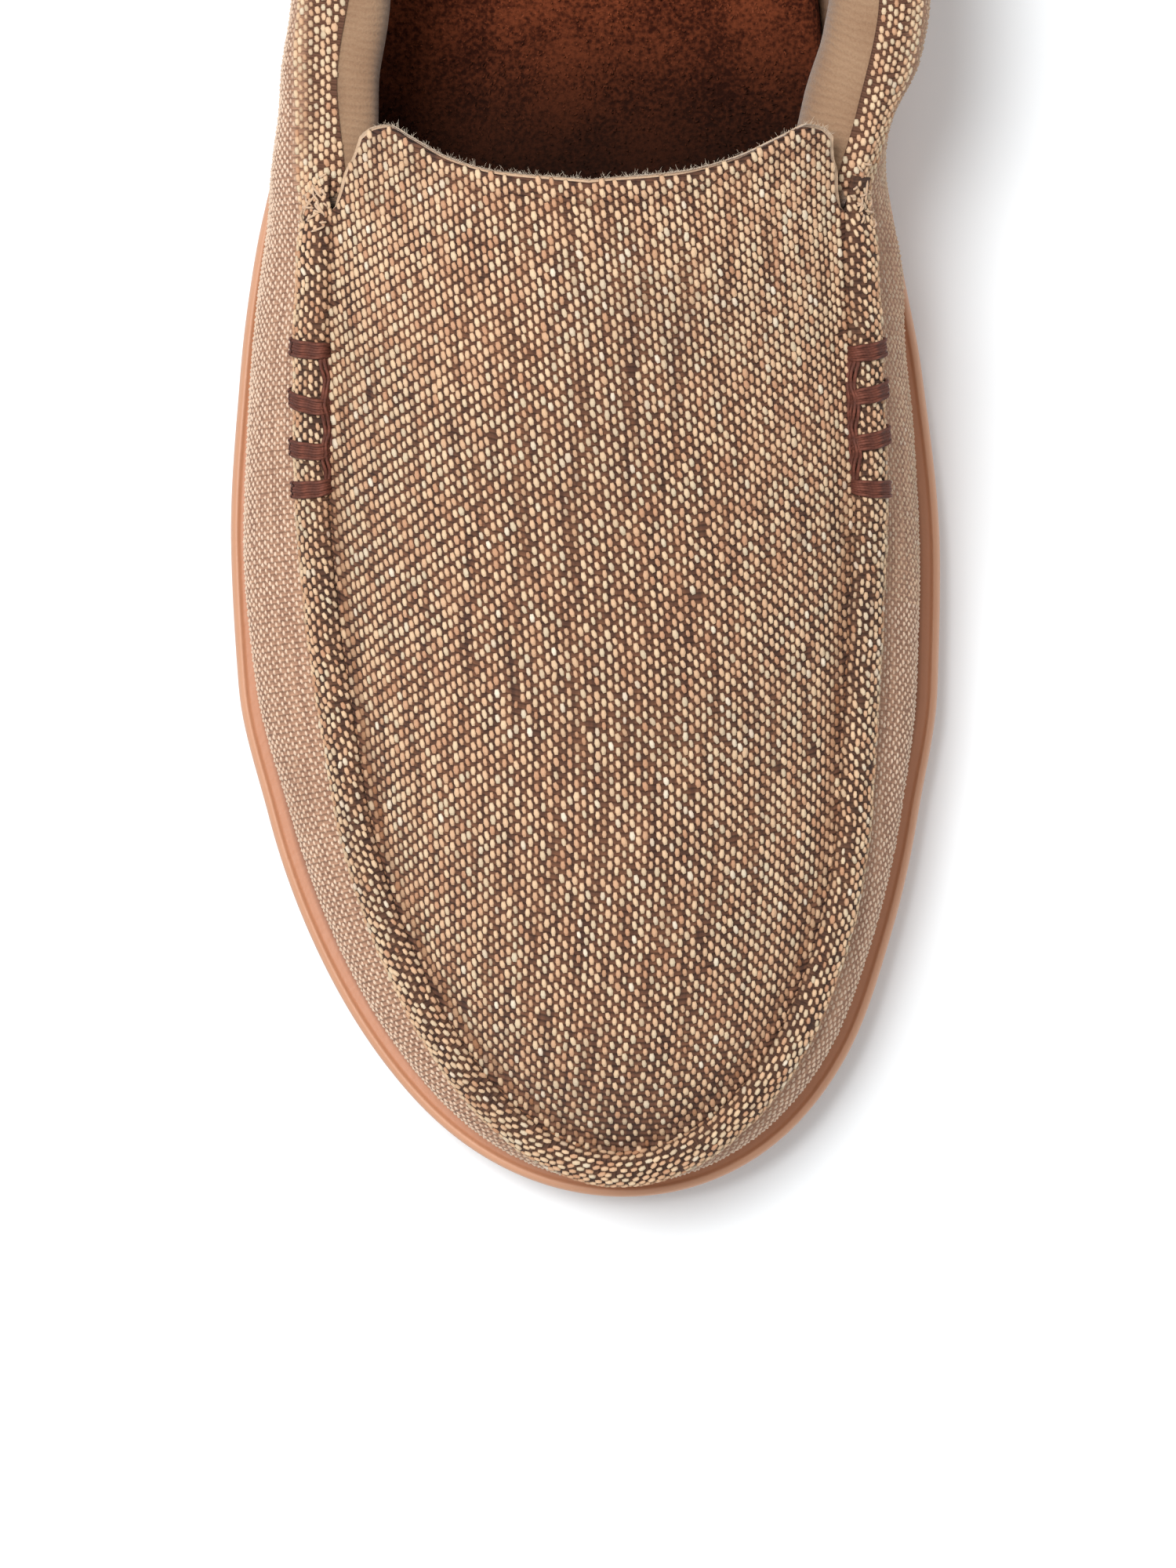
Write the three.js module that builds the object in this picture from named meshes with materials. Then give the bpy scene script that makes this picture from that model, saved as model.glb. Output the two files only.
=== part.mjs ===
import * as THREE from 'three';

// Moccasin slipper, right foot, millimetres: toe along -Y, heel along +Y, medial side along +X, floor at Z 0.

// Driving sizes
const soleLength = 290;      // outsole, back of the heel to the tip of the toe
const ballWidth = 110;       // outsole across the ball
const instepHeight = 78;     // top of the plug at the throat
const soleHeight = 18;       // edge of the outsole under the heel
const edgeRound = 1.5;       // rounding along the top edge of the outsole
const rimWidth = 4.4;        // ledge of the outsole outside the upper
const recessDepth = 1.5;     // pocket in the outsole that takes the upper
const wall = 2.2;            // canvas, foam and lining of the upper
const collarPad = 15;        // padded collar, outside to inside
const rollWidth = 6;         // raised seam round the plug
const rollHeight = 2.6;
const rollTaper = 0.03;      // stretch in front of the notch over which it rises, as a share of the length
const insoleThick = 5;       // plush footbed
const insoleDish = 2.5;      // rise of the footbed along its edge
const insoleRound = 1.5;     // rounding of its edges
const throatAt = 0.478;      // middle of the throat edge, as a share of the length
const notchAt = 0.489;       // where plug, seam and collar meet
const gap = 0.3;             // air between pieces that meet
const crownRise = 0.56;      // bow of the plug over half of its width
const crownPower = 2;
const crownToe = 5;          // stretch behind the seam at the toe over which the bow sets in

// Plan of the outsole: middle as a share of ballWidth, half width as a share of half of it, before the round ends
const solePlan = table('at middle half', [
  [0.000, 0.010, 0.700],
  [0.138, 0.006, 0.716],
  [0.259, 0.002, 0.740],
  [0.359, -0.002, 0.784],
  [0.444, -0.008, 0.852],
  [0.494, -0.011, 0.905],
  [0.561, -0.006, 0.962],
  [0.654, 0.000, 1.000],
  [0.730, 0.004, 0.986],
  [0.797, 0.011, 0.950],
  [0.864, 0.022, 0.943],
  [0.931, 0.040, 0.965],
  [1.000, 0.054, 1.019],
]);

// Fullest girth of the upper, up as a share of instepHeight
const bellyPlan = table('at middle half up', [
  [0.000, 0.012, 0.700, 0.46],
  [0.138, 0.018, 0.740, 0.48],
  [0.259, 0.033, 0.826, 0.51],
  [0.330, 0.037, 0.858, 0.52],
  [0.373, 0.034, 0.861, 0.52],
  [0.405, 0.020, 0.862, 0.51],
  [0.438, 0.003, 0.846, 0.50],
  [0.477, -0.009, 0.850, 0.46],
  [0.528, -0.011, 0.884, 0.42],
  [0.595, -0.007, 0.922, 0.37],
  [0.662, -0.006, 0.938, 0.34],
  [0.730, -0.002, 0.920, 0.32],
  [0.797, 0.008, 0.890, 0.30],
  [0.864, 0.020, 0.885, 0.295],
  [0.931, 0.039, 0.900, 0.30],
  [1.000, 0.050, 0.940, 0.31],
]);

// Top line of the collar, and in front of the notch the corner where side and plug are sewn
const seamPlan = table('at middle half up', [
  [0.000, 0.014, 0.600, 0.90],
  [0.138, 0.020, 0.650, 0.84],
  [0.259, 0.033, 0.738, 0.77],
  [0.330, 0.037, 0.767, 0.755],
  [0.380, 0.034, 0.773, 0.745],
  [0.438, 0.019, 0.748, 0.725],
  [0.489, 0.003, 0.725, 0.70],
  [0.556, 0.004, 0.741, 0.65],
  [0.627, 0.008, 0.748, 0.59],
  [0.699, 0.013, 0.729, 0.525],
  [0.780, 0.023, 0.688, 0.475],
  [0.861, 0.037, 0.660, 0.44],
  [0.931, 0.046, 0.629, 0.425],
  [1.000, 0.049, 0.553, 0.42],
]);

// Round ends of the rings: how far each stays in from the outsole, and the length of the rounding
const soleEnds = {heelIn: 0, toeIn: 0, heelRound: 40, toeRound: 80};
const bellyEnds = {heelIn: 2.5, toeIn: 2.6, heelRound: 38, toeRound: 78};
const seamEnds = {heelIn: 7, toeIn: 6.4, heelRound: 34, toeRound: 60};

// Underside and thickness of the outsole, as shares of soleHeight
const soleSide = table('at under thick', [
  [0.00, 0.08, 0.92],
  [0.05, 0.00, 1.00],
  [0.30, 0.00, 0.96],
  [0.40, 0.12, 0.78],
  [0.50, 0.03, 0.72],
  [0.55, 0.00, 0.70],
  [0.75, 0.00, 0.66],
  [0.84, 0.07, 0.60],
  [0.92, 0.20, 0.54],
  [1.00, 0.42, 0.48],
]);

// Throat edge of the plug: across as a share of its width, behind the middle as a share of the length
const throatLine = table('across behind', [
  [0.00, 0.0000],
  [0.35, 0.0045],
  [0.60, 0.0135],
  [0.80, 0.0255],
  [0.90, 0.0315],
  [0.96, 0.0305],
  [1.00, 0.0265],
]);

// Width left to the plug's ears behind the notch, as a share of the width between the top lines
const earLine = table('behind half', [
  [0.0000, 1.000],
  [0.0040, 0.940],
  [0.0110, 0.915],
  [0.0230, 0.893],
  [0.0290, 0.868],
  [0.0400, 0.845],
  [0.0490, 0.835],
]);

// Section of the seam roll: place from -1, low on the wall, over the corner at 0 to 1 on the plug
const rollSection = table('place lift', [
  [-1.00, 0.00],
  [0.00, 0.00],
  [0.33, 0.00],
  [0.66, 0.00],
  [1.00, 0.00],
  [1.00, 0.55],
  [0.50, 1.00],
  [0.00, 1.00],
  [-0.55, 0.80],
  [-1.00, 0.30],
]);

// Profile of the outsole: inset as a share of rimWidth, up as a share of its height there
const soleProfile = table('inset up', [
  [1.14, 0.00],
  [0.41, 0.06],
  [0.16, 0.22],
  [0.09, 0.50],
  [0.00, 0.76],
  [0.00, 0.90],
  [0.3 * edgeRound / rimWidth, 0.97],
  [edgeRound / rimWidth, 1.00],
  [1.00, 0.985],
]);

// Curves of the wall: stretch behind the notch over which the collar sets in, powers, and how its pad fills
const wallShape = {collarRun: 0.08, sideIn: 1.7, collarIn: 4, collarUp: 1.5, padFull: 0.6, padRound: 4};
const footLevel = 0.05;      // shares of the wall's girth: up out of the pocket, and to the fullest line
const bellyLevel = 0.36;
const rollLevel = 0.89;      // lower edge of the seam roll on the wall
const nearSeam = 0.97;       // level at which the wall's direction under the seam is taken
const rollStart = 0.3;       // height at the ends of the seam roll, as a share of rollHeight

function table(names, rows) {
  const columns = names.split(' ');
  return rows.map((row) => Object.fromEntries(columns.map((name, i) => [name, row[i]])));
}

// Smooth curve through one column that never overshoots its rows
function read(rows, column, at) {
  const key = Object.keys(rows[0])[0];
  const last = rows.length - 1;
  const x = Math.min(Math.max(at, rows[0][key]), rows[last][key]);
  let k = 0;
  while (k < last - 1 && x > rows[k + 1][key]) {
    k += 1;
  }
  const rise = (i) => (rows[i + 1][column] - rows[i][column]) / (rows[i + 1][key] - rows[i][key]);
  const slope = (i) => {
    if (i === 0) {
      return rise(0);
    }
    if (i === last) {
      return rise(last - 1);
    }
    const a = rise(i - 1);
    const b = rise(i);
    return a * b <= 0 ? 0 : (2 * a * b) / (a + b);
  };
  const h = rows[k + 1][key] - rows[k][key];
  const t = (x - rows[k][key]) / h;
  const t2 = t * t;
  const t3 = t2 * t;
  return (2 * t3 - 3 * t2 + 1) * rows[k][column] + (t3 - 2 * t2 + t) * h * slope(k)
    + (3 * t2 - 2 * t3) * rows[k + 1][column] + (t3 - t2) * h * slope(k + 1);
}

const mix = (a, b, t) => a + (b - a) * t;
const ease = (t) => {
  const c = Math.min(Math.max(t, 0), 1);
  return c * c * (3 - 2 * c);
};

// One turn round the shoe runs from 0 at the heel, along the lateral side to 1 at the toe, and back to 2
const turnStep = 0.01;
const sideOf = (turn) => (turn < 0 || (turn > 1 && turn <= 2) ? 1 : -1);

function roundEnds(from, ends) {
  const toe = Math.min(Math.max((soleLength - ends.toeIn - from) / ends.toeRound, 0), 1);
  const heel = Math.min(Math.max((from - ends.heelIn) / ends.heelRound, 0), 1);
  return Math.sqrt(1 - (1 - toe) ** 2) * Math.sqrt(1 - (1 - heel) ** 2);
}

// Length from the heel reached by a ring at this turn
function lengthOn(ends, turn) {
  return mix(ends.heelIn, soleLength - ends.toeIn, (1 - Math.cos(Math.PI * turn)) / 2);
}

// Half width of a ring at a length from the heel
function halfWidth(plan, ends, from) {
  return read(plan, 'half', from / soleLength) * ballWidth / 2 * roundEnds(from, ends);
}

// Point of a ring in plan, moved square inward by inset, with from as its length from the heel
function ringPoint(plan, ends, turn, inset = 0) {
  const onLine = (t) => {
    const from = lengthOn(ends, t);
    const x = read(plan, 'middle', from / soleLength) * ballWidth + sideOf(t) * halfWidth(plan, ends, from);
    return {x, from};
  };
  const here = onLine(turn);
  if (inset > 0) {
    const before = onLine(turn - turnStep / 10);
    const after = onLine(turn + turnStep / 10);
    const run = Math.hypot(after.x - before.x, after.from - before.from);
    here.x += inset * (after.from - before.from) / run;
    here.from -= inset * (after.x - before.x) / run;
  }
  return {...here, at: here.from / soleLength};
}

const placed = (x, from, z) => new THREE.Vector3(x, soleLength / 2 - from, z);
const soleUnder = (at) => read(soleSide, 'under', at) * soleHeight;
const soleTop = (at) => soleUnder(at) + read(soleSide, 'thick', at) * soleHeight;
const soleFloor = (at) => soleTop(at) - recessDepth;

// How much of a collar the edge is at this turn: 0 in front of the notch, 1 well behind it
function collarShare(turn) {
  return ease((notchAt - lengthOn(seamEnds, turn) / soleLength) / wallShape.collarRun);
}

// Side wall: straight up out of the pocket, out to the fullest girth, then in and up to the top line or seam
function wallPoint(turn, level) {
  const foot = ringPoint(solePlan, soleEnds, turn, rimWidth + gap);
  const belly = ringPoint(bellyPlan, bellyEnds, turn);
  const seam = ringPoint(seamPlan, seamEnds, turn);
  const footUp = soleTop(foot.at) + gap;
  const bellyUp = read(bellyPlan, 'up', belly.at) * instepHeight;
  const seamUp = read(seamPlan, 'up', seam.at) * instepHeight;
  if (level <= footLevel) {
    return placed(foot.x, foot.from, mix(soleFloor(foot.at) + gap, footUp, level / footLevel));
  }
  if (level <= bellyLevel) {
    const t = (level - footLevel) / (bellyLevel - footLevel);
    const out = 1 - (1 - t) ** 2;
    return placed(mix(foot.x, belly.x, out), mix(foot.from, belly.from, out), mix(footUp, bellyUp, t));
  }
  const t = (level - bellyLevel) / (1 - bellyLevel);
  const share = collarShare(turn);
  const inward = t ** mix(wallShape.sideIn, wallShape.collarIn, share);
  const upward = 1 - (1 - t) ** mix(1, wallShape.collarUp, share);
  return placed(mix(belly.x, seam.x, inward), mix(belly.from, seam.from, inward), mix(bellyUp, seamUp, upward));
}

// Height of the plug over a point in plan
function plugHeight(x, from) {
  const at = from / soleLength;
  const half = halfWidth(seamPlan, seamEnds, from);
  const across = half > 0 ? Math.min(Math.abs(x - read(seamPlan, 'middle', at) * ballWidth) / half, 1) : 1;
  const bow = crownRise * half * (1 - Math.exp((from + seamEnds.toeIn - soleLength) / crownToe));
  return read(seamPlan, 'up', at) * instepHeight + bow * (1 - across ** crownPower);
}

function plugPoint(from, across) {
  const x = read(seamPlan, 'middle', from / soleLength) * ballWidth
    + across * halfWidth(seamPlan, seamEnds, from);
  return placed(x, from, plugHeight(x, from));
}

// Turn at which the seam reaches a length from the heel
function turnAt(from) {
  const share = (from - seamEnds.heelIn) / (soleLength - seamEnds.toeIn - seamEnds.heelIn);
  return Math.acos(1 - 2 * share) / Math.PI;
}

// Triangles that share their corners, so that seams, poles and rims close
class Skin {
  constructor() {
    this.points = [];
    this.faces = [];
    this.seen = new Map();
  }

  corner(p) {
    const key = [p.x, p.y, p.z].map((v) => Math.round(v * 2000)).join(' ');
    if (!this.seen.has(key)) {
      this.seen.set(key, this.points.length);
      this.points.push(p.clone());
    }
    return this.seen.get(key);
  }

  triangle(a, b, c) {
    if (a !== b && b !== c && c !== a) {
      this.faces.push([a, b, c]);
    }
  }

  quad(a, b, c, d) {
    if (this.points[a].distanceTo(this.points[c]) <= this.points[b].distanceTo(this.points[d])) {
      this.triangle(a, b, c);
      this.triangle(a, c, d);
    } else {
      this.triangle(a, b, d);
      this.triangle(b, c, d);
    }
  }

  // Rows of points, each as long as the next
  grid(rows) {
    const ids = rows.map((row) => row.map((p) => this.corner(p)));
    for (let i = 0; i + 1 < ids.length; i += 1) {
      for (let j = 0; j + 1 < ids[i].length; j += 1) {
        this.quad(ids[i][j], ids[i][j + 1], ids[i + 1][j + 1], ids[i + 1][j]);
      }
    }
  }

  normals() {
    const out = this.points.map(() => new THREE.Vector3());
    for (const [a, b, c] of this.faces) {
      const n = this.points[b].clone().sub(this.points[a]).cross(this.points[c].clone().sub(this.points[a]));
      out[a].add(n);
      out[b].add(n);
      out[c].add(n);
    }
    return out.map((n) => n.normalize());
  }

  // Edges that only one face has, as that face runs along them
  rim() {
    const once = new Map();
    for (const face of this.faces) {
      for (let i = 0; i < 3; i += 1) {
        const a = face[i];
        const b = face[(i + 1) % 3];
        if (once.has(`${b} ${a}`)) {
          once.delete(`${b} ${a}`);
        } else {
          once.set(`${a} ${b}`, [a, b]);
        }
      }
    }
    return [...once.values()];
  }

  mesh(name, material) {
    const volume = this.faces.reduce((sum, [a, b, c]) => (
      sum + this.points[a].dot(this.points[b].clone().cross(this.points[c]))), 0);
    const order = volume > 0 ? [0, 1, 2] : [0, 2, 1];
    const geometry = new THREE.BufferGeometry();
    geometry.setAttribute('position', new THREE.Float32BufferAttribute(
      this.points.flatMap((p) => [p.x, p.y, p.z]), 3));
    geometry.setIndex(this.faces.flatMap((f) => order.map((k) => f[k])));
    geometry.computeVertexNormals();
    const mesh = new THREE.Mesh(geometry, material);
    mesh.name = name;
    return mesh;
  }
}

function cloth(name, color, roughness) {
  return new THREE.MeshStandardMaterial({name, color, roughness, metalness: 0});
}

// Even shares from a to b, both kept
const spread = (a, b, count) => Array.from({length: count + 1}, (_, i) => mix(a, b, i / count));

// Turns of the lateral side, carried on round the toe and back along the medial side
const bothSides = (lateral) => lateral.concat(lateral.slice(0, -1).reverse().map((turn) => 2 - turn));

// Stations from the heel to the notch and from there to the toe, shared by pieces that meet
const notchTurn = turnAt(notchAt * soleLength);
const rearTurns = spread(0, notchTurn, 20);
const frontTurns = spread(notchTurn, 1, 26);
const wholeTurn = bothSides(rearTurns.concat(frontTurns.slice(1)));

// Rings one above the other, closed by rows across the first and the last
function ringStack(levels, turns, steps, capLift) {
  const skin = new Skin();
  skin.grid(levels.map((level) => turns.map((turn) => level(turn))));
  const sides = turns.filter((turn) => turn <= 1);
  for (const end of [0, levels.length - 1]) {
    const rows = sides.map((turn) => {
      const a = levels[end](turn);
      const b = levels[end](2 - turn);
      return spread(0, 1, steps).map((t) => {
        const p = a.clone().lerp(b, t);
        p.z += capLift(end, 2 * t - 1, a.distanceTo(b));
        return p;
      });
    });
    skin.grid(end === 0 ? rows : rows.map((row) => row.reverse()));
  }
  return skin;
}

function outsole(material) {
  const ring = (inset, up) => (turn) => {
    const p = ringPoint(solePlan, soleEnds, turn, inset);
    return placed(p.x, p.from, up(p.at));
  };
  const height = (share) => (at) => mix(soleUnder(at), soleTop(at), share);
  const levels = soleProfile.map((row) => ring(row.inset * rimWidth, height(row.up)));
  levels.push(ring(rimWidth, soleFloor));
  return ringStack(levels, wholeTurn, 6, () => 0).mesh('outsole', material);
}

function insole(material) {
  const inset = rimWidth + gap + wall + gap;
  const ring = (extra, height) => (turn) => {
    const p = ringPoint(solePlan, soleEnds, turn, inset + extra);
    return placed(p.x, p.from, soleFloor(p.at) + gap + height);
  };
  const edgeUp = insoleThick + insoleDish;
  const lip = insoleRound * 0.4;
  const levels = [
    ring(insoleRound, 0),
    ring(0, insoleRound),
    ring(0, edgeUp - insoleRound),
    ring(insoleRound, edgeUp),
    ring(insoleRound * 2.7, edgeUp - lip),
  ];
  const dish = (end, across, width) => (end === 0 ? 0
    : -(insoleDish - lip) * (1 - across ** 4) * ease(width / (ballWidth / 3)));
  return ringStack(levels, wholeTurn, 8, dish).mesh('insole', material);
}

const wallLevels = [0, footLevel, 0.19, bellyLevel, 0.52, 0.68, 0.82, 0.92, 0.975, 1];
const plugSteps = 14;
const plugCrowding = 1.25;   // draws the plug's columns together towards the seam

// Outer face of the upper: the wall all round, the plug between its seams, and the ears behind the notch
function upperFace() {
  const skin = new Skin();
  skin.grid(wallLevels.map((level) => wholeTurn.map((turn) => wallPoint(turn, level))));
  const columns = spread(1, -1, plugSteps).map((c) => Math.sign(c) * (1 - (1 - Math.abs(c)) ** plugCrowding));
  const plug = frontTurns.map((turn) => columns.map((across) => plugPoint(lengthOn(seamEnds, turn), across)));
  const ears = spread(1, 0, 5).slice(0, -1).map((share) => columns.map((across) => {
    const back = throatAt - read(throatLine, 'behind', Math.abs(across));
    const at = mix(notchAt, back, share);
    return plugPoint(at * soleLength, across * read(earLine, 'half', notchAt - at));
  }));
  skin.grid(ears.concat(plug));
  return skin;
}

// Inner face: the wall's thickness inward, and behind the notch a padded collar that closes in its top line
function upper(material) {
  const skin = upperFace();
  const normals = skin.normals();
  const inner = skin.points.map((p, i) => p.clone().addScaledVector(normals[i], -wall));
  for (const turn of wholeTurn) {
    const share = collarShare(turn);
    if (share === 0) {
      continue;
    }
    const ahead = wallPoint(Math.min(turn + turnStep, 2), bellyLevel);
    const along = ahead.sub(wallPoint(Math.max(turn - turnStep, 0), bellyLevel)).setZ(0).normalize();
    const inward = new THREE.Vector3(-along.y, along.x, 0);
    for (const level of wallLevels) {
      const p = wallPoint(turn, level);
      const t = Math.max((level - bellyLevel) / (1 - bellyLevel), 0);
      const full = mix(wall, collarPad, ease(t / wallShape.padFull));
      const thick = full * Math.sqrt(1 - t ** wallShape.padRound);
      const padded = p.clone().addScaledVector(inward, thick);
      inner[skin.corner(p)].lerp(padded, share);
    }
  }
  const whole = new Skin();
  const outerIds = skin.points.map((p) => whole.corner(p));
  const innerIds = inner.map((p) => whole.corner(p));
  for (const [a, b, c] of skin.faces) {
    whole.triangle(outerIds[a], outerIds[b], outerIds[c]);
    whole.triangle(innerIds[a], innerIds[c], innerIds[b]);
  }
  for (const [a, b] of skin.rim()) {
    whole.quad(outerIds[b], outerIds[a], innerIds[a], innerIds[b]);
  }
  return whole.mesh('upper', material);
}

// Raised seam: a half-round roll over the corner of side and plug, ending at the collar
function seamRoll(material) {
  const cross = (a, b) => a.clone().cross(b).normalize();
  const section = (turn) => {
    const behind = (lengthOn(seamEnds, turn) / soleLength - notchAt) / rollTaper;
    const height = rollHeight * mix(rollStart, 1, ease(behind));
    const corner = wallPoint(turn, 1);
    const low = wallPoint(turn, rollLevel);
    const ahead = wallPoint(turn + turnStep / 2, nearSeam);
    const along = ahead.sub(wallPoint(turn - turnStep / 2, nearSeam)).normalize();
    const outOfWall = cross(along, corner.clone().sub(wallPoint(turn, nearSeam)));
    const onPlug = (inset) => {
      const p = ringPoint(seamPlan, seamEnds, turn, inset);
      return placed(p.x, p.from, plugHeight(p.x, p.from));
    };
    const outOfPlug = cross(along, onPlug(rollWidth / 2).sub(corner));
    const outward = outOfWall.clone().add(outOfPlug).normalize();
    return rollSection.map(({place, lift}) => {
      const air = place === 0 ? gap * 1.5 : gap;
      if (place > 0) {
        return onPlug(place * rollWidth / 2).addScaledVector(outOfPlug, air + lift * height);
      }
      const onWall = corner.clone().lerp(low, -place);
      return onWall.addScaledVector(place < 0 ? outOfWall : outward, air + lift * height);
    });
  };
  const rows = bothSides(frontTurns).map((turn) => {
    const points = section(turn);
    return points.concat([points[0]]);
  });
  const skin = new Skin();
  skin.grid(rows);
  for (const [row, flip] of [[rows[0], true], [rows[rows.length - 1], false]]) {
    const ids = row.slice(0, -1).map((p) => skin.corner(p));
    for (let i = 2; i < ids.length; i += 1) {
      const next = ids[(i + 1) % ids.length];
      skin.triangle(ids[1], flip ? next : ids[i], flip ? ids[i] : next);
    }
  }
  return skin.mesh('seam_roll', material);
}

const slipper = new THREE.Group();
slipper.name = 'moccasin_slipper';
slipper.add(outsole(cloth('rubber_tan', 0xc08460, 0.62)));
slipper.add(insole(cloth('plush_brown', 0x4a2615, 0.95)));
slipper.add(upper(cloth('canvas_brown', 0xa08062, 0.9)));
slipper.add(seamRoll(cloth('canvas_roll', 0x9c7b62, 0.9)));
export default slipper;
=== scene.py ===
import bmesh
import bpy
import numpy as np
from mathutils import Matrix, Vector


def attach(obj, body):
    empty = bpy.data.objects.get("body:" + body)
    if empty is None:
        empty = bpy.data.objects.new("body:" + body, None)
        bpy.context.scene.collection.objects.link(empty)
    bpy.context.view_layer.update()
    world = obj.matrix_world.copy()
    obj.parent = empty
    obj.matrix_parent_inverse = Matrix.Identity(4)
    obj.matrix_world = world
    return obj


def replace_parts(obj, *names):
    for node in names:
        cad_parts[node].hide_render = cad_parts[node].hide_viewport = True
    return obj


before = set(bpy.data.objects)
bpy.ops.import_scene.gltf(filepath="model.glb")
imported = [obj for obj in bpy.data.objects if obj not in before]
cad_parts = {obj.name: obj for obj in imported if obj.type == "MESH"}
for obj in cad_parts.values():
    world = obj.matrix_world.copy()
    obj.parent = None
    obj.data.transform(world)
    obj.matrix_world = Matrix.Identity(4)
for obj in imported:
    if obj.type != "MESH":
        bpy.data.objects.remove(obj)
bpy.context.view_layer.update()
print("frame loaded")

# Right slipper. Sizes in millimetres: toe along -Y, heel along +Y, medial side along +X, floor at Z 0.
shoe = dict(length=290, ballWidth=110, instep=78, soleHeight=18, rimWidth=4.4, recess=1.5, wall=2.2,
            collarPad=15, rollWidth=6, rollHeight=2.6, throatAt=0.478, notchAt=0.489, gap=0.3, crownRise=0.56,
            crownToe=5)
wallShape = dict(foot=0.05, belly=0.36, collarRun=0.08, padRun=0.018, sideIn=1.7, collarIn=4, collarUp=1.5,
                 padFull=0.6, padRound=4)


def table(names, rows):
    return dict(zip(names.split(), np.array(rows, float).T))


# middle as a share of the ball width, half width as a share of half of it, up as a share of the instep
solePlan = table("at middle half", [
    [0.000, 0.010, 0.700], [0.138, 0.006, 0.716], [0.259, 0.002, 0.740], [0.359, -0.002, 0.784],
    [0.444, -0.008, 0.852], [0.494, -0.011, 0.905], [0.561, -0.006, 0.962], [0.654, 0.000, 1.000],
    [0.730, 0.004, 0.986], [0.797, 0.011, 0.950], [0.864, 0.022, 0.943], [0.931, 0.040, 0.965],
    [1.000, 0.054, 1.019]])
bellyPlan = table("at middle half up", [
    [0.000, 0.012, 0.700, 0.46], [0.138, 0.018, 0.740, 0.48], [0.259, 0.033, 0.826, 0.51],
    [0.330, 0.037, 0.858, 0.52], [0.373, 0.034, 0.861, 0.52], [0.405, 0.020, 0.862, 0.51],
    [0.438, 0.003, 0.846, 0.50], [0.477, -0.009, 0.850, 0.46], [0.528, -0.011, 0.884, 0.42],
    [0.595, -0.007, 0.922, 0.37], [0.662, -0.006, 0.938, 0.34], [0.730, -0.002, 0.920, 0.32],
    [0.797, 0.008, 0.890, 0.30], [0.864, 0.020, 0.885, 0.295], [0.931, 0.039, 0.900, 0.30],
    [1.000, 0.050, 0.940, 0.31]])
seamPlan = table("at middle half up", [
    [0.000, 0.014, 0.600, 0.90], [0.138, 0.020, 0.650, 0.84], [0.259, 0.033, 0.738, 0.77],
    [0.330, 0.037, 0.767, 0.755], [0.380, 0.034, 0.773, 0.745], [0.438, 0.019, 0.748, 0.725],
    [0.489, 0.003, 0.725, 0.70], [0.556, 0.004, 0.741, 0.65], [0.627, 0.008, 0.748, 0.59],
    [0.699, 0.013, 0.729, 0.525], [0.780, 0.023, 0.688, 0.475], [0.861, 0.037, 0.660, 0.44],
    [0.931, 0.046, 0.629, 0.425], [1.000, 0.049, 0.553, 0.42]])
soleEnds = dict(heelIn=0, toeIn=0, heelRound=40, toeRound=80)
bellyEnds = dict(heelIn=2.5, toeIn=2.6, heelRound=38, toeRound=78)
seamEnds = dict(heelIn=7, toeIn=6.4, heelRound=34, toeRound=60)
soleSide = table("at under thick", [
    [0.00, 0.08, 0.92], [0.05, 0.00, 1.00], [0.30, 0.00, 0.96], [0.40, 0.12, 0.78], [0.50, 0.03, 0.72],
    [0.55, 0.00, 0.70], [0.75, 0.00, 0.66], [0.84, 0.07, 0.60], [0.92, 0.20, 0.54], [1.00, 0.42, 0.48]])
throatLine = table("across behind", [
    [0.00, 0.0], [0.35, 0.0045], [0.60, 0.0135], [0.80, 0.0255], [0.90, 0.0315], [0.96, 0.0305],
    [1.00, 0.0265]])
earLine = table("behind half", [
    [0.0, 1.0], [0.004, 0.940], [0.011, 0.915], [0.023, 0.893], [0.029, 0.868], [0.040, 0.845],
    [0.049, 0.835]])


def readTable(rows, column, at):
    # smooth curve through one column, with the harmonic mean of neighbouring slopes at each row
    x, y = list(rows.values())[0], rows[column]
    rise = np.diff(y) / np.diff(x)
    product = rise[:-1] * rise[1:]
    total = np.where(product > 0, rise[:-1] + rise[1:], 1)
    slope = np.concatenate([rise[:1], np.where(product > 0, 2 * product / total, 0), rise[-1:]])
    at = np.clip(at, x[0], x[-1])
    k = np.clip(np.searchsorted(x, at, side="right") - 1, 0, len(x) - 2)
    h = x[k + 1] - x[k]
    t = (at - x[k]) / h
    return ((2 * t**3 - 3 * t**2 + 1) * y[k] + (t**3 - 2 * t**2 + t) * h * slope[k]
            + (3 * t**2 - 2 * t**3) * y[k + 1] + (t**3 - t**2) * h * slope[k + 1])


def mix(a, b, t):
    return a + (b - a) * t


def ease(t):
    t = np.clip(t, 0, 1)
    return t * t * (3 - 2 * t)


def bell(x, width):
    # 1 at 0, falling to about a third at the width
    return np.exp(-(x / width) ** 2)


def unit(v):
    return v / np.maximum(np.linalg.norm(v, axis=-1, keepdims=True), 1e-9)


def waves(x, y, size, seed):
    # smooth random field from about -1 to 1: a few waves in seeded directions
    rng = np.random.default_rng(seed)
    total = 0
    for k in range(6):
        angle, shift = rng.uniform(0, 2 * np.pi, 2)
        run = (np.cos(angle) * x + np.sin(angle) * y) / (size * rng.uniform(0.6, 1.6))
        total = total + np.sin(2 * np.pi * run + shift)
    return total / 2.4


# One turn round the shoe: 0 at the heel, up the lateral side to 1 at the toe, back down the medial side to 2
def sideOf(turn):
    return np.where(np.mod(turn, 2) <= 1, -1.0, 1.0)


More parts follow.
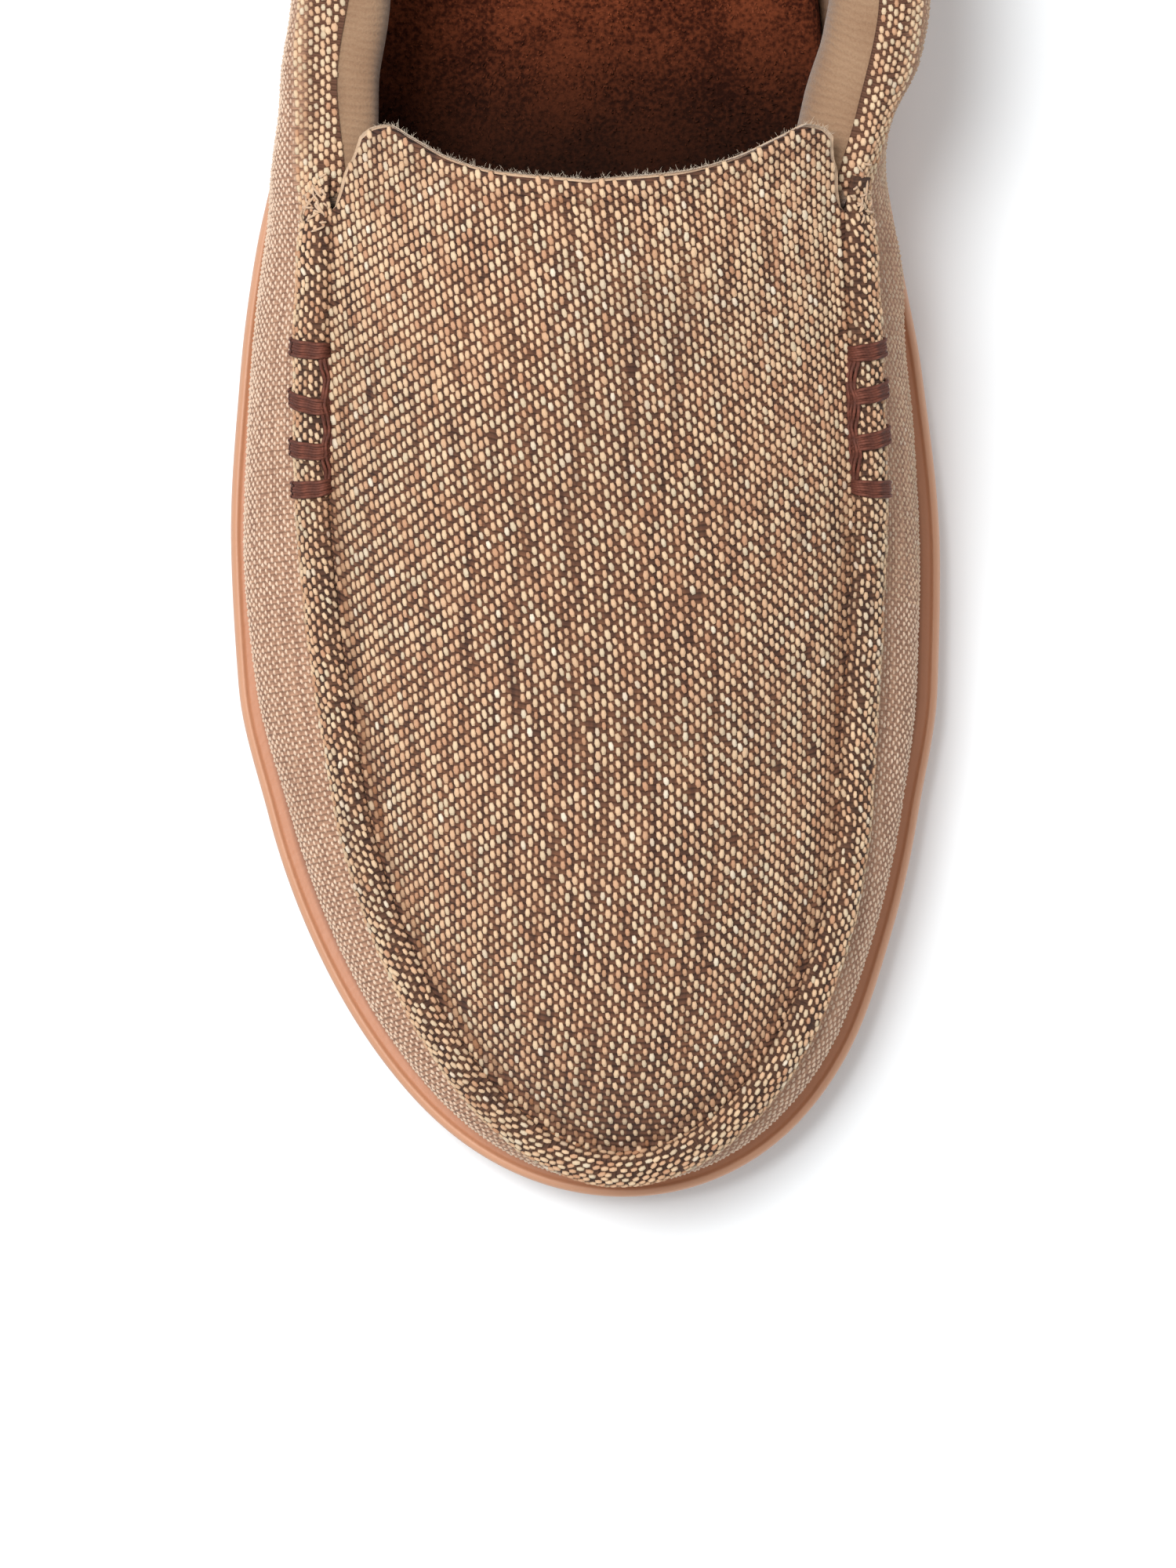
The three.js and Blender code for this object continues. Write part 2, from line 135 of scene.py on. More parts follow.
def lengthOn(ends, turn):
    return mix(ends["heelIn"], shoe["length"] - ends["toeIn"], (1 - np.cos(np.pi * turn)) / 2)


def turnAt(length):
    share = (length - seamEnds["heelIn"]) / (shoe["length"] - seamEnds["toeIn"] - seamEnds["heelIn"])
    return np.arccos(1 - 2 * share) / np.pi


def sideTurn(side, length):
    return turnAt(length) if side < 0 else 2 - turnAt(length)


def halfWidth(plan, ends, length):
    # half width from the table, rounded to nothing at both ends on a quarter ellipse
    toe = np.clip((shoe["length"] - ends["toeIn"] - length) / ends["toeRound"], 0, 1)
    heel = np.clip((length - ends["heelIn"]) / ends["heelRound"], 0, 1)
    rounding = np.sqrt(1 - (1 - toe) ** 2) * np.sqrt(1 - (1 - heel) ** 2)
    return readTable(plan, "half", length / shoe["length"]) * shoe["ballWidth"] / 2 * rounding


def middle(plan, length):
    return readTable(plan, "middle", length / shoe["length"]) * shoe["ballWidth"]


def ringPlan(plan, ends, turn, inset=0):
    # x and length of a ring, moved square inward by inset
    def onLine(t):
        length = lengthOn(ends, t)
        return middle(plan, length) + sideOf(t) * halfWidth(plan, ends, length), length
    x, length = onLine(turn)
    x0, l0 = onLine(turn - 0.001)
    x1, l1 = onLine(turn + 0.001)
    run = np.hypot(x1 - x0, l1 - l0)
    return x + inset * (l1 - l0) / run, length - inset * (x1 - x0) / run


def place(x, length, z):
    x, length, z = np.broadcast_arrays(x, length, z)
    return np.stack([x, shoe["length"] / 2 - length, z], -1)


def soleUnder(length):
    return readTable(soleSide, "under", length / shoe["length"]) * shoe["soleHeight"]


def soleTop(length):
    return soleUnder(length) + readTable(soleSide, "thick", length / shoe["length"]) * shoe["soleHeight"]


def collarShare(turn):
    # 0 in front of the notch, 1 well behind it
    return ease((shoe["notchAt"] - lengthOn(seamEnds, turn) / shoe["length"]) / wallShape["collarRun"])


def wallPoint(turn, level):
    # up out of the sole's pocket, out to the fullest girth, then in and up to the top line or seam
    turn, level = np.broadcast_arrays(np.asarray(turn, float), np.asarray(level, float))
    footX, footL = ringPlan(solePlan, soleEnds, turn, shoe["rimWidth"] + shoe["gap"])
    bellyX, bellyL = ringPlan(bellyPlan, bellyEnds, turn)
    seamX, seamL = ringPlan(seamPlan, seamEnds, turn)
    footZ = soleTop(footL) + shoe["gap"]
    bellyZ = readTable(bellyPlan, "up", bellyL / shoe["length"]) * shoe["instep"]
    seamZ = readTable(seamPlan, "up", seamL / shoe["length"]) * shoe["instep"]
    low, belly = wallShape["foot"], wallShape["belly"]
    t = np.clip((level - low) / (belly - low), 0, 1)
    out = 1 - (1 - t) ** 2
    lower = place(mix(footX, bellyX, out), mix(footL, bellyL, out), mix(footZ, bellyZ, t))
    lower[..., 2] -= np.where(level < low, (low - level) / low * shoe["recess"], 0)
    t = np.clip((level - belly) / (1 - belly), 0, 1)
    share = collarShare(turn)
    inward = t ** mix(wallShape["sideIn"], wallShape["collarIn"], share)
    upward = 1 - (1 - t) ** mix(1, wallShape["collarUp"], share)
    upper = place(mix(bellyX, seamX, inward), mix(bellyL, seamL, inward), mix(bellyZ, seamZ, upward))
    return np.where((level <= belly)[..., None], lower, upper)


def wallNormal(turn, level):
    across = wallPoint(turn + 0.002, level) - wallPoint(turn - 0.002, level)
    lo, hi = np.clip(level - 0.01, 0, 1), np.clip(level + 0.01, 0, 1)
    return unit(np.cross(across, wallPoint(turn, hi) - wallPoint(turn, lo)))


def inwardAt(turn):
    along = wallPoint(turn + 0.01, wallShape["belly"]) - wallPoint(turn - 0.01, wallShape["belly"])
    along = unit(along * [1, 1, 0])
    return np.stack([-along[..., 1], along[..., 0], 0 * along[..., 0]], -1)


def padShare(turn):
    # the pad runs on nearly to the notch, under the ears
    return ease((shoe["notchAt"] - lengthOn(seamEnds, turn) / shoe["length"]) / wallShape["padRun"])


def innerPoint(turn, level):
    # the wall's thickness in from its face, and behind the notch the pad, closing in the top line
    p = wallPoint(turn, level)
    plain = p - shoe["wall"] * wallNormal(turn, level)
    t = np.clip((level - wallShape["belly"]) / (1 - wallShape["belly"]), 0, 1)
    thick = mix(shoe["wall"], shoe["collarPad"], ease(t / wallShape["padFull"]))
    thick = thick * np.sqrt(np.clip(1 - t ** wallShape["padRound"], 0, 1))
    padded = p + inwardAt(turn) * np.asarray(thick)[..., None]
    return mix(plain, padded, padShare(turn)[..., None])


def bowShare(length):
    # bow of the plug as a share of its half width; it sets in behind the toe seam
    return shoe["crownRise"] * (1 - np.exp((length + seamEnds["toeIn"] - shoe["length"]) / shoe["crownToe"]))


def plugHeight(x, length):
    half = np.maximum(halfWidth(seamPlan, seamEnds, length), 1e-6)
    across = np.clip(np.abs(x - middle(seamPlan, length)) / half, 0, 1)
    seamZ = readTable(seamPlan, "up", length / shoe["length"]) * shoe["instep"]
    return seamZ + bowShare(length) * half * (1 - across**2)


# Mesh building: grids of points with a shared thickness, closed round their edges
def gridNormals(points, wrapRows=False):
    if wrapRows:
        down = np.roll(points, -1, 0) - np.roll(points, 1, 0)
    else:
        down = np.gradient(points, axis=0)
    across = np.gradient(points, axis=1)
    return unit(np.cross(down, across))


def gridFaces(rows, columns, start=0, wrapRows=False):
    i = np.arange(rows if wrapRows else rows - 1)[:, None]
    j = np.arange(columns - 1)[None, :]
    a = start + i * columns + j
    b = start + ((i + 1) % rows) * columns + j
    return np.stack([a, b, b + 1, a + 1], -1).reshape(-1, 4)


def arcLength(points, axis):
    # running length along one axis of a grid, from its first point
    steps = np.linalg.norm(np.diff(points, axis=axis), axis=-1)
    zero = np.zeros_like(np.take(steps, [0], axis))
    return np.cumsum(np.concatenate([zero, steps], axis), axis)


def newPiece(name, points, groups, material, uv=None, attributes=None):
    # points in mm, groups of faces with one corner count each, uv and attributes per point
    mesh = bpy.data.meshes.new(name)
    corners = np.concatenate([g.ravel() for g in groups]).astype(np.int32)
    sizes = np.concatenate([np.full(len(g), g.shape[1]) for g in groups])
    mesh.vertices.add(len(points))
    mesh.vertices.foreach_set("co", (points * 0.001).astype(np.float32).ravel())
    mesh.loops.add(len(corners))
    mesh.loops.foreach_set("vertex_index", corners)
    mesh.polygons.add(len(sizes))
    mesh.polygons.foreach_set("loop_start", (np.cumsum(sizes) - sizes).astype(np.int32))
    mesh.update(calc_edges=True)
    if uv is not None:
        layer = mesh.uv_layers.new(name="weave")
        layer.data.foreach_set("uv", uv.reshape(-1, 2)[corners].astype(np.float32).ravel())
    for key, values in (attributes or {}).items():
        layer = mesh.attributes.new(key, "FLOAT", "POINT")
        layer.data.foreach_set("value", values.astype(np.float32).ravel())
    mesh.shade_smooth()
    mesh.materials.append(material)
    piece = bpy.data.objects.new(name, mesh)
    bpy.context.scene.collection.objects.link(piece)
    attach(piece, "root")
    return piece


def mergeCorners(piece):
    # joins doubled points so that poles and caps close, and drops faces without area
    bm = bmesh.new()
    bm.from_mesh(piece.data)
    bmesh.ops.remove_doubles(bm, verts=bm.verts, dist=1e-6)
    bmesh.ops.dissolve_degenerate(bm, edges=bm.edges, dist=1e-6)
    bmesh.ops.recalc_face_normals(bm, faces=bm.faces)
    bm.to_mesh(piece.data)
    bm.free()
    piece.data.shade_smooth()


def shellPiece(name, points, thick, material, uv, wrapRows=False, inside=False):
    # outer grid, the same grid moved in by the thickness, and quads round every open edge
    rows, columns = points.shape[:2]
    normals = gridNormals(points, wrapRows) * (-1 if inside else 1)
    count = rows * columns
    both = np.concatenate([points.reshape(-1, 3), (points - normals * thick).reshape(-1, 3)])
    outer = gridFaces(rows, columns, 0, wrapRows)
    faces = [outer, outer[:, ::-1] + count]
    ids = np.arange(count).reshape(rows, columns)
    edges = [ids[:, 0][::-1], ids[:, -1]]
    if not wrapRows:
        edges += [ids[0, :], ids[-1, :][::-1]]
    for edge in edges:
        a, b = (edge, np.roll(edge, -1)) if wrapRows else (edge[:-1], edge[1:])
        faces.append(np.stack([b, a, a + count, b + count], -1))
    faces = np.concatenate(faces)
    if inside:
        faces = faces[:, ::-1]
    return newPiece(name, both, [faces], material, np.concatenate([uv.reshape(-1, 2)] * 2))


def slabCaps(rings, columns):
    # sheets of points over the first and the last ring, from the lateral to the medial side
    half = len(rings) // 2
    t = np.linspace(0, 1, columns)[None, :, None]
    caps = []
    for end in (0, -1):
        lateral = rings[:half + 1, end]
        medial = np.concatenate([rings[:1, end], rings[half:, end][::-1]])
        caps.append(mix(lateral[:, None], medial[:, None], t))
    return caps


def slabPiece(name, rings, caps, material, attributes=None):
    # rings round the shoe and their two caps, joined into one closed piece
    rows, columns = rings.shape[:2]
    points, groups = [rings.reshape(-1, 3)], [gridFaces(rows, columns, 0, True)[:, ::-1]]
    start = rows * columns
    for cap, way in zip(caps, (1, -1)):
        points.append(cap.reshape(-1, 3))
        groups.append(gridFaces(*cap.shape[:2], start)[:, ::way])
        start += cap.shape[0] * cap.shape[1]
    piece = newPiece(name, np.concatenate(points), groups, material, attributes=attributes)
    mergeCorners(piece)
    return piece


class Cloth:
    # a grid of points with running lengths in mm: u across its columns from the zero column, v along its rows
    def __init__(self, points, zero, spine):
        self.points = points
        girth = arcLength(points, 1)
        self.u = girth - girth[:, [zero]]
        self.v = arcLength(points[:, [spine]], 0)[:, 0]
        self.uv = np.stack([self.u, np.broadcast_to(self.v[:, None], self.u.shape)], -1)

    def at(self, u, v):
        # points of the grid at lengths u and v, and whether u lies on it
        row = np.interp(v, self.v, np.arange(len(self.v)))
        lo = np.minimum(row.astype(int), len(self.v) - 2)
        part = (row - lo)[:, None]
        line = mix(self.u[lo], self.u[lo + 1], part)
        k = np.clip((line <= u[:, None]).sum(1) - 1, 0, line.shape[1] - 2)
        near = np.arange(len(u))
        share = ((u - line[near, k]) / (line[near, k + 1] - line[near, k]))[:, None]
        a = mix(self.points[lo, k], self.points[lo, k + 1], share)
        b = mix(self.points[lo + 1, k], self.points[lo + 1, k + 1], share)
        return mix(a, b, part), (line[:, 0] < u) & (u < line[:, -1])


# Shader maths: a socket that takes the usual operators
class Value:
    def __init__(self, shader, socket):
        self.shader, self.socket = shader, socket

    def _do(self, operation, *others, clamp=False):
        return self.shader.node("ShaderNodeMath", dict(operation=operation, use_clamp=clamp),
                                {i: v for i, v in enumerate((self,) + others)})[0]

    def __add__(self, other): return self._do("ADD", other)
    def __radd__(self, other): return self._do("ADD", other)
    def __sub__(self, other): return self._do("SUBTRACT", other)
    def __rsub__(self, other): return self._do("MULTIPLY", -1.0)._do("ADD", other)
    def __mul__(self, other): return self._do("MULTIPLY", other)
    def __rmul__(self, other): return self._do("MULTIPLY", other)
    def sin(self): return self._do("SINE")
    def clamp(self): return self._do("ADD", 0.0, clamp=True)

    def ramp(self, lo, hi):
        return self.shader.node("ShaderNodeMapRange", dict(interpolation_type="SMOOTHSTEP", clamp=True),
                                {0: self, 1: lo, 2: hi})[0]


class Shader:
    def __init__(self, name, **surface):
        self.material = bpy.data.materials.new(name)
        self.material.use_nodes = True
        self.tree = self.material.node_tree
        self.surface = self.tree.nodes["Principled BSDF"]
        for key, v in surface.items():
            self.surface.inputs[key.replace("_", " ")].default_value = v

    def node(self, kind, settings=None, inputs=None):
        made = self.tree.nodes.new(kind)
        for key, v in (settings or {}).items():
            if key == "stops":
                while len(made.color_ramp.elements) < len(v):
                    made.color_ramp.elements.new(0.5)
                for element, (at, color) in zip(made.color_ramp.elements, v):
                    element.position, element.color = at, (*color, 1)
            else:
                setattr(made, key, v)
        for key, v in (inputs or {}).items():
            if isinstance(v, Value):
                self.tree.links.new(v.socket, made.inputs[key])
            else:
                made.inputs[key].default_value = (*v, 1) if isinstance(v, tuple) else v
        return [Value(self, s) for s in made.outputs]

    def uv(self):
        made = self.node("ShaderNodeUVMap", dict(uv_map="weave"))[0]
        return self.node("ShaderNodeSeparateXYZ", {}, {0: made})[:2]

    def attribute(self, name):
        return self.node("ShaderNodeAttribute", dict(attribute_name=name))[2]

    def vector(self, x, y, z=0.0):
        return self.node("ShaderNodeCombineXYZ", {}, {0: x, 1: y, 2: z})[0]

    def place(self):
        return self.node("ShaderNodeTexCoord")[3]

    def noise(self, vector, scale, detail=2.0, rough=0.5):
        return self.node("ShaderNodeTexNoise", {}, {"Vector": vector, "Scale": scale, "Detail": detail,
                                                     "Roughness": rough})[0]

    def blend(self, factor, a, b):
        return self.node("ShaderNodeMix", dict(data_type="RGBA"), {0: factor, 6: a, 7: b})[2]

    def ramp(self, factor, stops):
        return self.node("ShaderNodeValToRGB", dict(stops=stops), {0: factor})[0]

    def bump(self, height, distance):
        return self.node("ShaderNodeBump", {}, {"Height": height, "Distance": distance})[0]

    def set(self, **sockets):
        for key, v in sockets.items():
            name = dict(color="Base Color", rough="Roughness", normal="Normal")[key]
            self.tree.links.new(v.socket, self.surface.inputs[name])
        return self.material


shoeTone = 0.97    # share of its brightness that each colour keeps under these lights


def rgb(*srgb):
    # linear colour from screen values out of 255
    c = np.array(srgb) / 255
    linear = np.where(c <= 0.04045, c / 12.92, ((c + 0.055) / 1.055) ** 2.4)
    return tuple(float(v) * shoeTone for v in linear)


# Canvas: beige floats of the warp stand as small domes on a ground of dark brown weft
def yarnMaterial():
    s = Shader("yarn_beige", Roughness=0.82)
    where = s.place()
    fibre = s.noise(where, 2600.0, 3.0, 0.6)
    tone, deep, crown = s.attribute("tone"), s.attribute("deep"), s.attribute("crown")
    color = s.ramp(tone * 0.85 + fibre * 0.15, [
        (0.06, rgb(196, 148, 114)), (0.28, rgb(218, 178, 142)), (0.50, rgb(230, 200, 164)),
        (0.72, rgb(212, 194, 164)), (0.94, rgb(240, 226, 204))])
    # pale tint set per piece of the weave; the medial piece gets less of it, as painted shade
    color = s.blend(s.attribute("pale"), color, rgb(238, 212, 188))
    color = s.blend(deep, color, rgb(150, 104, 72))
    # painted shade with some dirt: each float darker towards its base, down among its neighbours
    color = s.blend((1.0 - crown) * 0.40, color, rgb(140, 96, 68))
    return s.set(color=color, normal=s.bump(fibre, 0.00012))


def groundMaterial(name, high, low, groove, edge=0):
    # edge: u from which the cloth is as dark as under the roll
    s = Shader(name, Roughness=0.9)
    u, v = s.uv()
    ridge = (v * (2 * np.pi / 0.9)).sin()
    slub = s.noise(s.vector(u * 0.8, v * 0.07, 3.0), 1.0, 2.0)
    color = s.blend(slub.ramp(0.3, 0.7), rgb(*high), rgb(*low))
    if edge:
        color = s.blend(u.ramp(edge - 2, edge + 1), color, rgb(98, 64, 46))
    # painted shade: the hollows between the weft ridges darkened
    color = s.blend((ridge * -0.3).clamp(), color, rgb(*groove))
    return s.set(color=color, normal=s.bump(ridge, 0.00015))


def liningMaterial(name, *tones):
    s = Shader(name, Roughness=0.95, Sheen_Weight=0.3)
    u, v = s.uv()
    rib = ((v + s.noise(s.vector(u * 0.3, v * 0.2), 1.0, 2.0) * 1.2) * (2 * np.pi / 1.25)).sin()
    nap = s.noise(s.vector(u, v), 2.6, 4.0, 0.7)
    soft = s.noise(s.vector(u * 0.09, v * 0.09, 2.0), 1.0, 2.0)
    height = s.node("ShaderNodeSeparateXYZ", {}, {0: s.place()})[2]     # painted shade: darker low down in the shoe
    color = s.ramp(nap * 0.50 + soft * 0.40 + rib * 0.03 + height.ramp(0.034, 0.066) * 0.30 - 0.13, [
        (0.2, rgb(*tones[0])), (0.5, rgb(*tones[1])), (0.8, rgb(*tones[2]))])
    return s.set(color=color, normal=s.bump(rib * 0.3 + nap * 1.2, 0.00015))


def rubberMaterial():
    # outer band of the rim lighter than the inner one, whose darker colour is painted shade; painted shade
    # mixed with grime where the cloth meets it
    s = Shader("rubber_tan")
    where = s.place()
    fine = s.noise(where, 900.0, 3.0)
    broad = s.noise(where, 25.0, 3.0)
    color = s.blend(broad.ramp(0.3, 0.7), rgb(198, 146, 114), rgb(206, 154, 122))
    # painted shade: the inner band of the rim, darker and more orange than the lit outer band
    color = s.blend(s.attribute("inner") * 0.6, color, rgb(186, 120, 82))
    # painted shade mixed with grime where the overhanging cloth meets the rim, and light grime underneath
    color = s.blend(s.attribute("grime") * 0.7, color, rgb(100, 60, 42))
    relief = s.bump(fine * 0.4 + s.attribute("tread"), 0.0002)
    return s.set(color=color, rough=0.44 + broad * 0.16, normal=relief)


def plushMaterial(name, low, high):
    s = Shader(name, Roughness=1.0, Specular_IOR_Level=0.15)
    where = s.place()
    patch = s.noise(where, 70.0, 3.0, 0.6)
    fine = s.noise(where, 1500.0, 2.0)
    color = s.blend((patch * 0.45 + fine * 0.55).ramp(0.36, 0.64), rgb(*low), rgb(*high))
    toward = s.node("ShaderNodeSeparateXYZ", {}, {0: where})[1] * -1.0    # painted shade: darker under the throat, towards the toe
    color = s.blend(toward.ramp(-0.052, -0.012) * 0.9, color, rgb(20, 8, 3))
    return s.set(color=color, normal=s.bump(fine, 0.0004))


def threadMaterial():
    s = Shader("thread_brown", Roughness=0.7, Specular_IOR_Level=0.3)
    u, v = s.uv()
    ply = ((v * 0.35 + u * 1.0) * (2 * np.pi)).sin()
    fray = s.noise(s.vector(u * 3.0, v * 2.0), 1.0, 3.0)
    color = s.blend((ply * 0.18 + fray).clamp(), rgb(54, 24, 16), rgb(126, 72, 56))
    return s.set(color=color, normal=s.bump(ply, 0.00008))


def fuzzMaterial():
    s = Shader("fuzz_pale", Roughness=0.9)
    return s.set(color=s.blend(s.noise(s.place(), 300.0), rgb(214, 190, 162), rgb(244, 232, 214)))


yarn = yarnMaterial()
ground = groundMaterial("weft_brown", (116, 76, 54), (76, 47, 34), (50, 31, 22))
sideGround = groundMaterial("weft_side", (192, 148, 120), (162, 120, 96), (116, 80, 60), edge=-2.5)
rollGround = groundMaterial("weft_roll", (104, 70, 50), (70, 44, 32), (46, 28, 20))
lining = liningMaterial("knit_lining", (118, 86, 62), (148, 114, 86), (172, 140, 110))
edging = liningMaterial("knit_edge", (176, 142, 112), (202, 168, 136), (224, 194, 164))
rubber = rubberMaterial()
plush = plushMaterial("plush_brown", (58, 20, 8), (126, 62, 36))
pile = plushMaterial("plush_pile", (66, 24, 9), (154, 80, 50))
thread = threadMaterial()
fuzz = fuzzMaterial()
print("materials ready")


# Floats: closed domes on a staggered lattice, u across the warp and v along it
floatLook = dict(across=1.02, along=1.80, halfAcross=0.455, halfAlong=0.80, high=0.32, sunk=0.12, slant=0.21,
                 corners=6, seed=3, missing=0.002, deep=0.0, streak=1.0, pale=0.0, rings=2, jitter=1.0)


def buildFloats(name, surface, uRange, vRange, **changes):
    # surface(u, v) gives points, whether a float may lie there, and how much darker it is painted, as painted
    # shade and dirt
    look = dict(floatLook, **changes)
    rng = np.random.default_rng(look["seed"])
    columns = np.arange(*(int(edge / look["across"]) for edge in uRange))
    rows = np.arange(*(int(edge / look["along"]) for edge in vRange))
    column, row = (a.ravel() for a in np.meshgrid(columns, rows, indexing="ij"))
    count = len(column)
    u = column * look["across"] + rng.normal(0, 0.05, count) * look["jitter"]
    v = (row + (column % 2) * 0.5) * look["along"] + rng.normal(0, 0.09, count) * look["jitter"]
    inside, shadeAndDirt = surface(u, v)[1:]
    keep = inside & (rng.random(count) > look["missing"])
    u, v, column, shadeAndDirt = u[keep], v[keep], column[keep], shadeAndDirt[keep]
    count = len(u)
    points = surface(u, v)[0]
    acrossWay = unit(surface(u + 0.25, v)[0] - surface(u - 0.25, v)[0])
    alongWay = unit(surface(u, v + 0.4)[0] - surface(u, v - 0.4)[0])
    normal = unit(np.cross(alongWay, acrossWay))
    tilt = look["slant"] + rng.normal(0, 0.10, count) * look["jitter"]
    longWay = unit(alongWay * np.cos(tilt)[:, None] + acrossWay * np.sin(tilt)[:, None])
    shortWay = np.cross(normal, longWay)
    slub = ease((waves(column * 37.0, v, 26, look["seed"]) - 0.25) / 0.9) * look["streak"]
    patch = waves(u, v, 38, look["seed"] + 1)
    grow = 1 + rng.normal(0, 0.07, count) - 0.16 * slub
    halfAcross = look["halfAcross"] * grow * (1 + rng.normal(0, 0.06, count))
    halfAlong = look["halfAlong"] * grow
    high = look["high"] * (1 + rng.normal(0, 0.12, count))
    angle = (np.arange(look["corners"]) + 0.5) * 2 * np.pi / look["corners"]
    square = np.stack([np.cos(angle), np.sin(angle)])
    square = np.sign(square) * np.abs(square) ** 0.75
    domes = []
    for size, lift in ((1.0, None), (0.78, 0.72))[:look["rings"]]:
        long = (halfAlong * size)[:, None] * square[0]
        short = (halfAcross * size)[:, None] * square[1]
        up = np.full(count, -look["sunk"]) if lift is None else high * lift
        domes.append(points[:, None] + long[..., None] * longWay[:, None]
                     + short[..., None] * shortWay[:, None] + (up[:, None] * normal)[:, None])
    domes.append((points + high[:, None] * normal)[:, None])
    corners = look["corners"]
    per = look["rings"] * corners + 1
    start = np.arange(count)[:, None, None] * per
    k = np.arange(corners)[None, :]
    after = (k + 1) % corners
    last = per - 1 - corners
    top = np.stack([k + last, after + last, per - 1 + 0 * k], -1)
    groups = [(start + top).reshape(-1, 3), (start[:, 0] + np.arange(corners)[None, ::-1])]
    if look["rings"] == 2:
        groups.append((start + np.stack([k, after, after + corners, k + corners], -1)).reshape(-1, 4))
    tone = np.clip(0.42 + rng.normal(0, 0.22, count) + 0.10 * patch, 0, 1)
    # deep: darker streaks and patches of the yarn, plus the painted shade and dirt that the surface gives
    deep = np.clip(0.05 + 0.30 * slub + 0.10 * patch + rng.normal(0, 0.06, count) + shadeAndDirt + look["deep"], 0, 1)
    crown = np.tile(np.concatenate([np.zeros(corners), np.full(last, 0.75), [1.0]]), count)
    attributes = dict(tone=np.repeat(tone, per), deep=np.repeat(deep, per), crown=crown,
                      pale=np.full(count * per, look["pale"]))
    print(name, count, "floats")
    return newPiece(name, np.concatenate(domes, 1).reshape(-1, 3), groups, yarn,
                    attributes=attributes)


# Outsole: profile from the flat underside out to the rounded rim and down into the pocket of the upper
soleLook = dict(around=480, columns=40, treadPitch=6.0, treadSway=24, treadHigh=3, dish=0.4)


def buildSole():
    profile = table("inset share down", [
        [7.0, 0.00, 0.0], [5.0, 0.00, 0.0], [3.6, 0.012, 0.0], [2.6, 0.035, 0.0], [1.8, 0.07, 0.0],
        [1.1, 0.15, 0.0], [0.7, 0.24, 0.0], [0.45, 0.38, 0.0], [0.35, 0.52, 0.0], [0.2, 0.66, 0.0],
        [0.0, 0.78, 0.0], [0.0, 0.86, 0.0], [0.12, 0.92, 0.0], [0.35, 0.965, 0.0], [0.7, 0.992, 0.0],
        [1.0, 1.0, 0.0], [1.25, 1.0, 0.12], [1.45, 1.0, 0.34], [1.8, 1.0, 0.36], [2.6, 1.0, 0.34],
        [3.6, 1.0, 0.38], [4.25, 0.995, 0.5], [4.4, 0.98, 0.8], [4.4, 0.98, 1.3]])
    turns = np.linspace(0, 2, soleLook["around"], endpoint=False)[:, None]
    inset = profile["inset"][None, :]
    x, length = ringPlan(solePlan, soleEnds, turns, inset)
    z = mix(soleUnder(length), soleTop(length), profile["share"][None, :]) - profile["down"][None, :]
    rings = place(x, length, z)
    under, top = slabCaps(rings, soleLook["columns"])
    top[:, 1:-1, 2] -= soleLook["dish"]
    onTop = (profile["share"] > 0.9) * np.ones((len(rings), 1))
    sway = 1.2 * np.sin(under[..., 0] * 2 * np.pi / soleLook["treadSway"])
    wave = np.sin(under[..., 1] * 2 * np.pi / soleLook["treadPitch"] + sway)
    flat = np.ones(under.shape[:2])
    # painted shade with grime over the rim's inner band and hidden top, light grime underneath; painted shade
    # on the inner band
    parts = dict(grime=[ease((inset - 2.6) / 1.0) * onTop, 0.15 * flat, flat],
                 inner=[ease((inset - 1.1) / 0.3) * onTop, flat, flat],
                 tread=[0 * onTop, soleLook["treadHigh"] * ease((wave + 0.2) * 2), 0 * flat])
    values = {key: np.concatenate([v.ravel() for v in part]) for key, part in parts.items()}
    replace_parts(slabPiece("sole_rubber", rings, (under, top), rubber, values), "outsole")


# Side cloth: the wall's face, over the top line and a little way down inside the collar
clothLook = dict(around=540, up=34, fold=8, thick=0.8, band=5.5, floatsFrom=0.06, floatsTo=0.905, bend=1.15)
foldWidth = table("at lateral medial", [
    [0.00, 3.8, 3.8], [0.36, 4.4, 2.8], [0.42, 2.2, 3.0], [0.47, 4.2, 3.6], [0.489, 4.8, 4.2]])


def sideWave(turn, level):
    # soft troughs and ridges of the side, in mm along its normal: side, length, level, height, width, girth
    folds = table("side length level high wide tall", [
        [-1, 150, 0.82, -0.9, 7, 0.16], [-1, 138, 0.70, 0.7, 9, 0.20], [-1, 126, 0.80, -0.6, 8, 0.18],
        [1, 146, 0.85, -1.0, 7, 0.14], [1, 130, 0.52, -1.5, 7, 0.30], [1, 118, 0.70, 0.6, 9, 0.24],
        [1, 148, 0.40, 1.3, 9, 0.20],
        [-1, 96, 0.60, 0.5, 20, 0.20], [1, 92, 0.55, 0.6, 22, 0.20], [-1, 238, 0.42, -1.2, 34, 0.40],
        [1, 225, 0.50, 0.4, 26, 0.25]])
    length = lengthOn(seamEnds, turn)
    out = 0 * turn * level
    for side, at, lv, high, wide, tall in zip(*folds.values()):
        out = out + np.where(sideOf(turn) == side, high, 0) * bell(length - at, wide) * bell(level - lv, tall)
    return out * ease(level / 0.2) * ease((1 - level) / 0.08)


def clothLevels():
    # closer together towards the top line
    return 1 - (1 - np.linspace(0, 1, clothLook["up"])) ** clothLook["bend"]


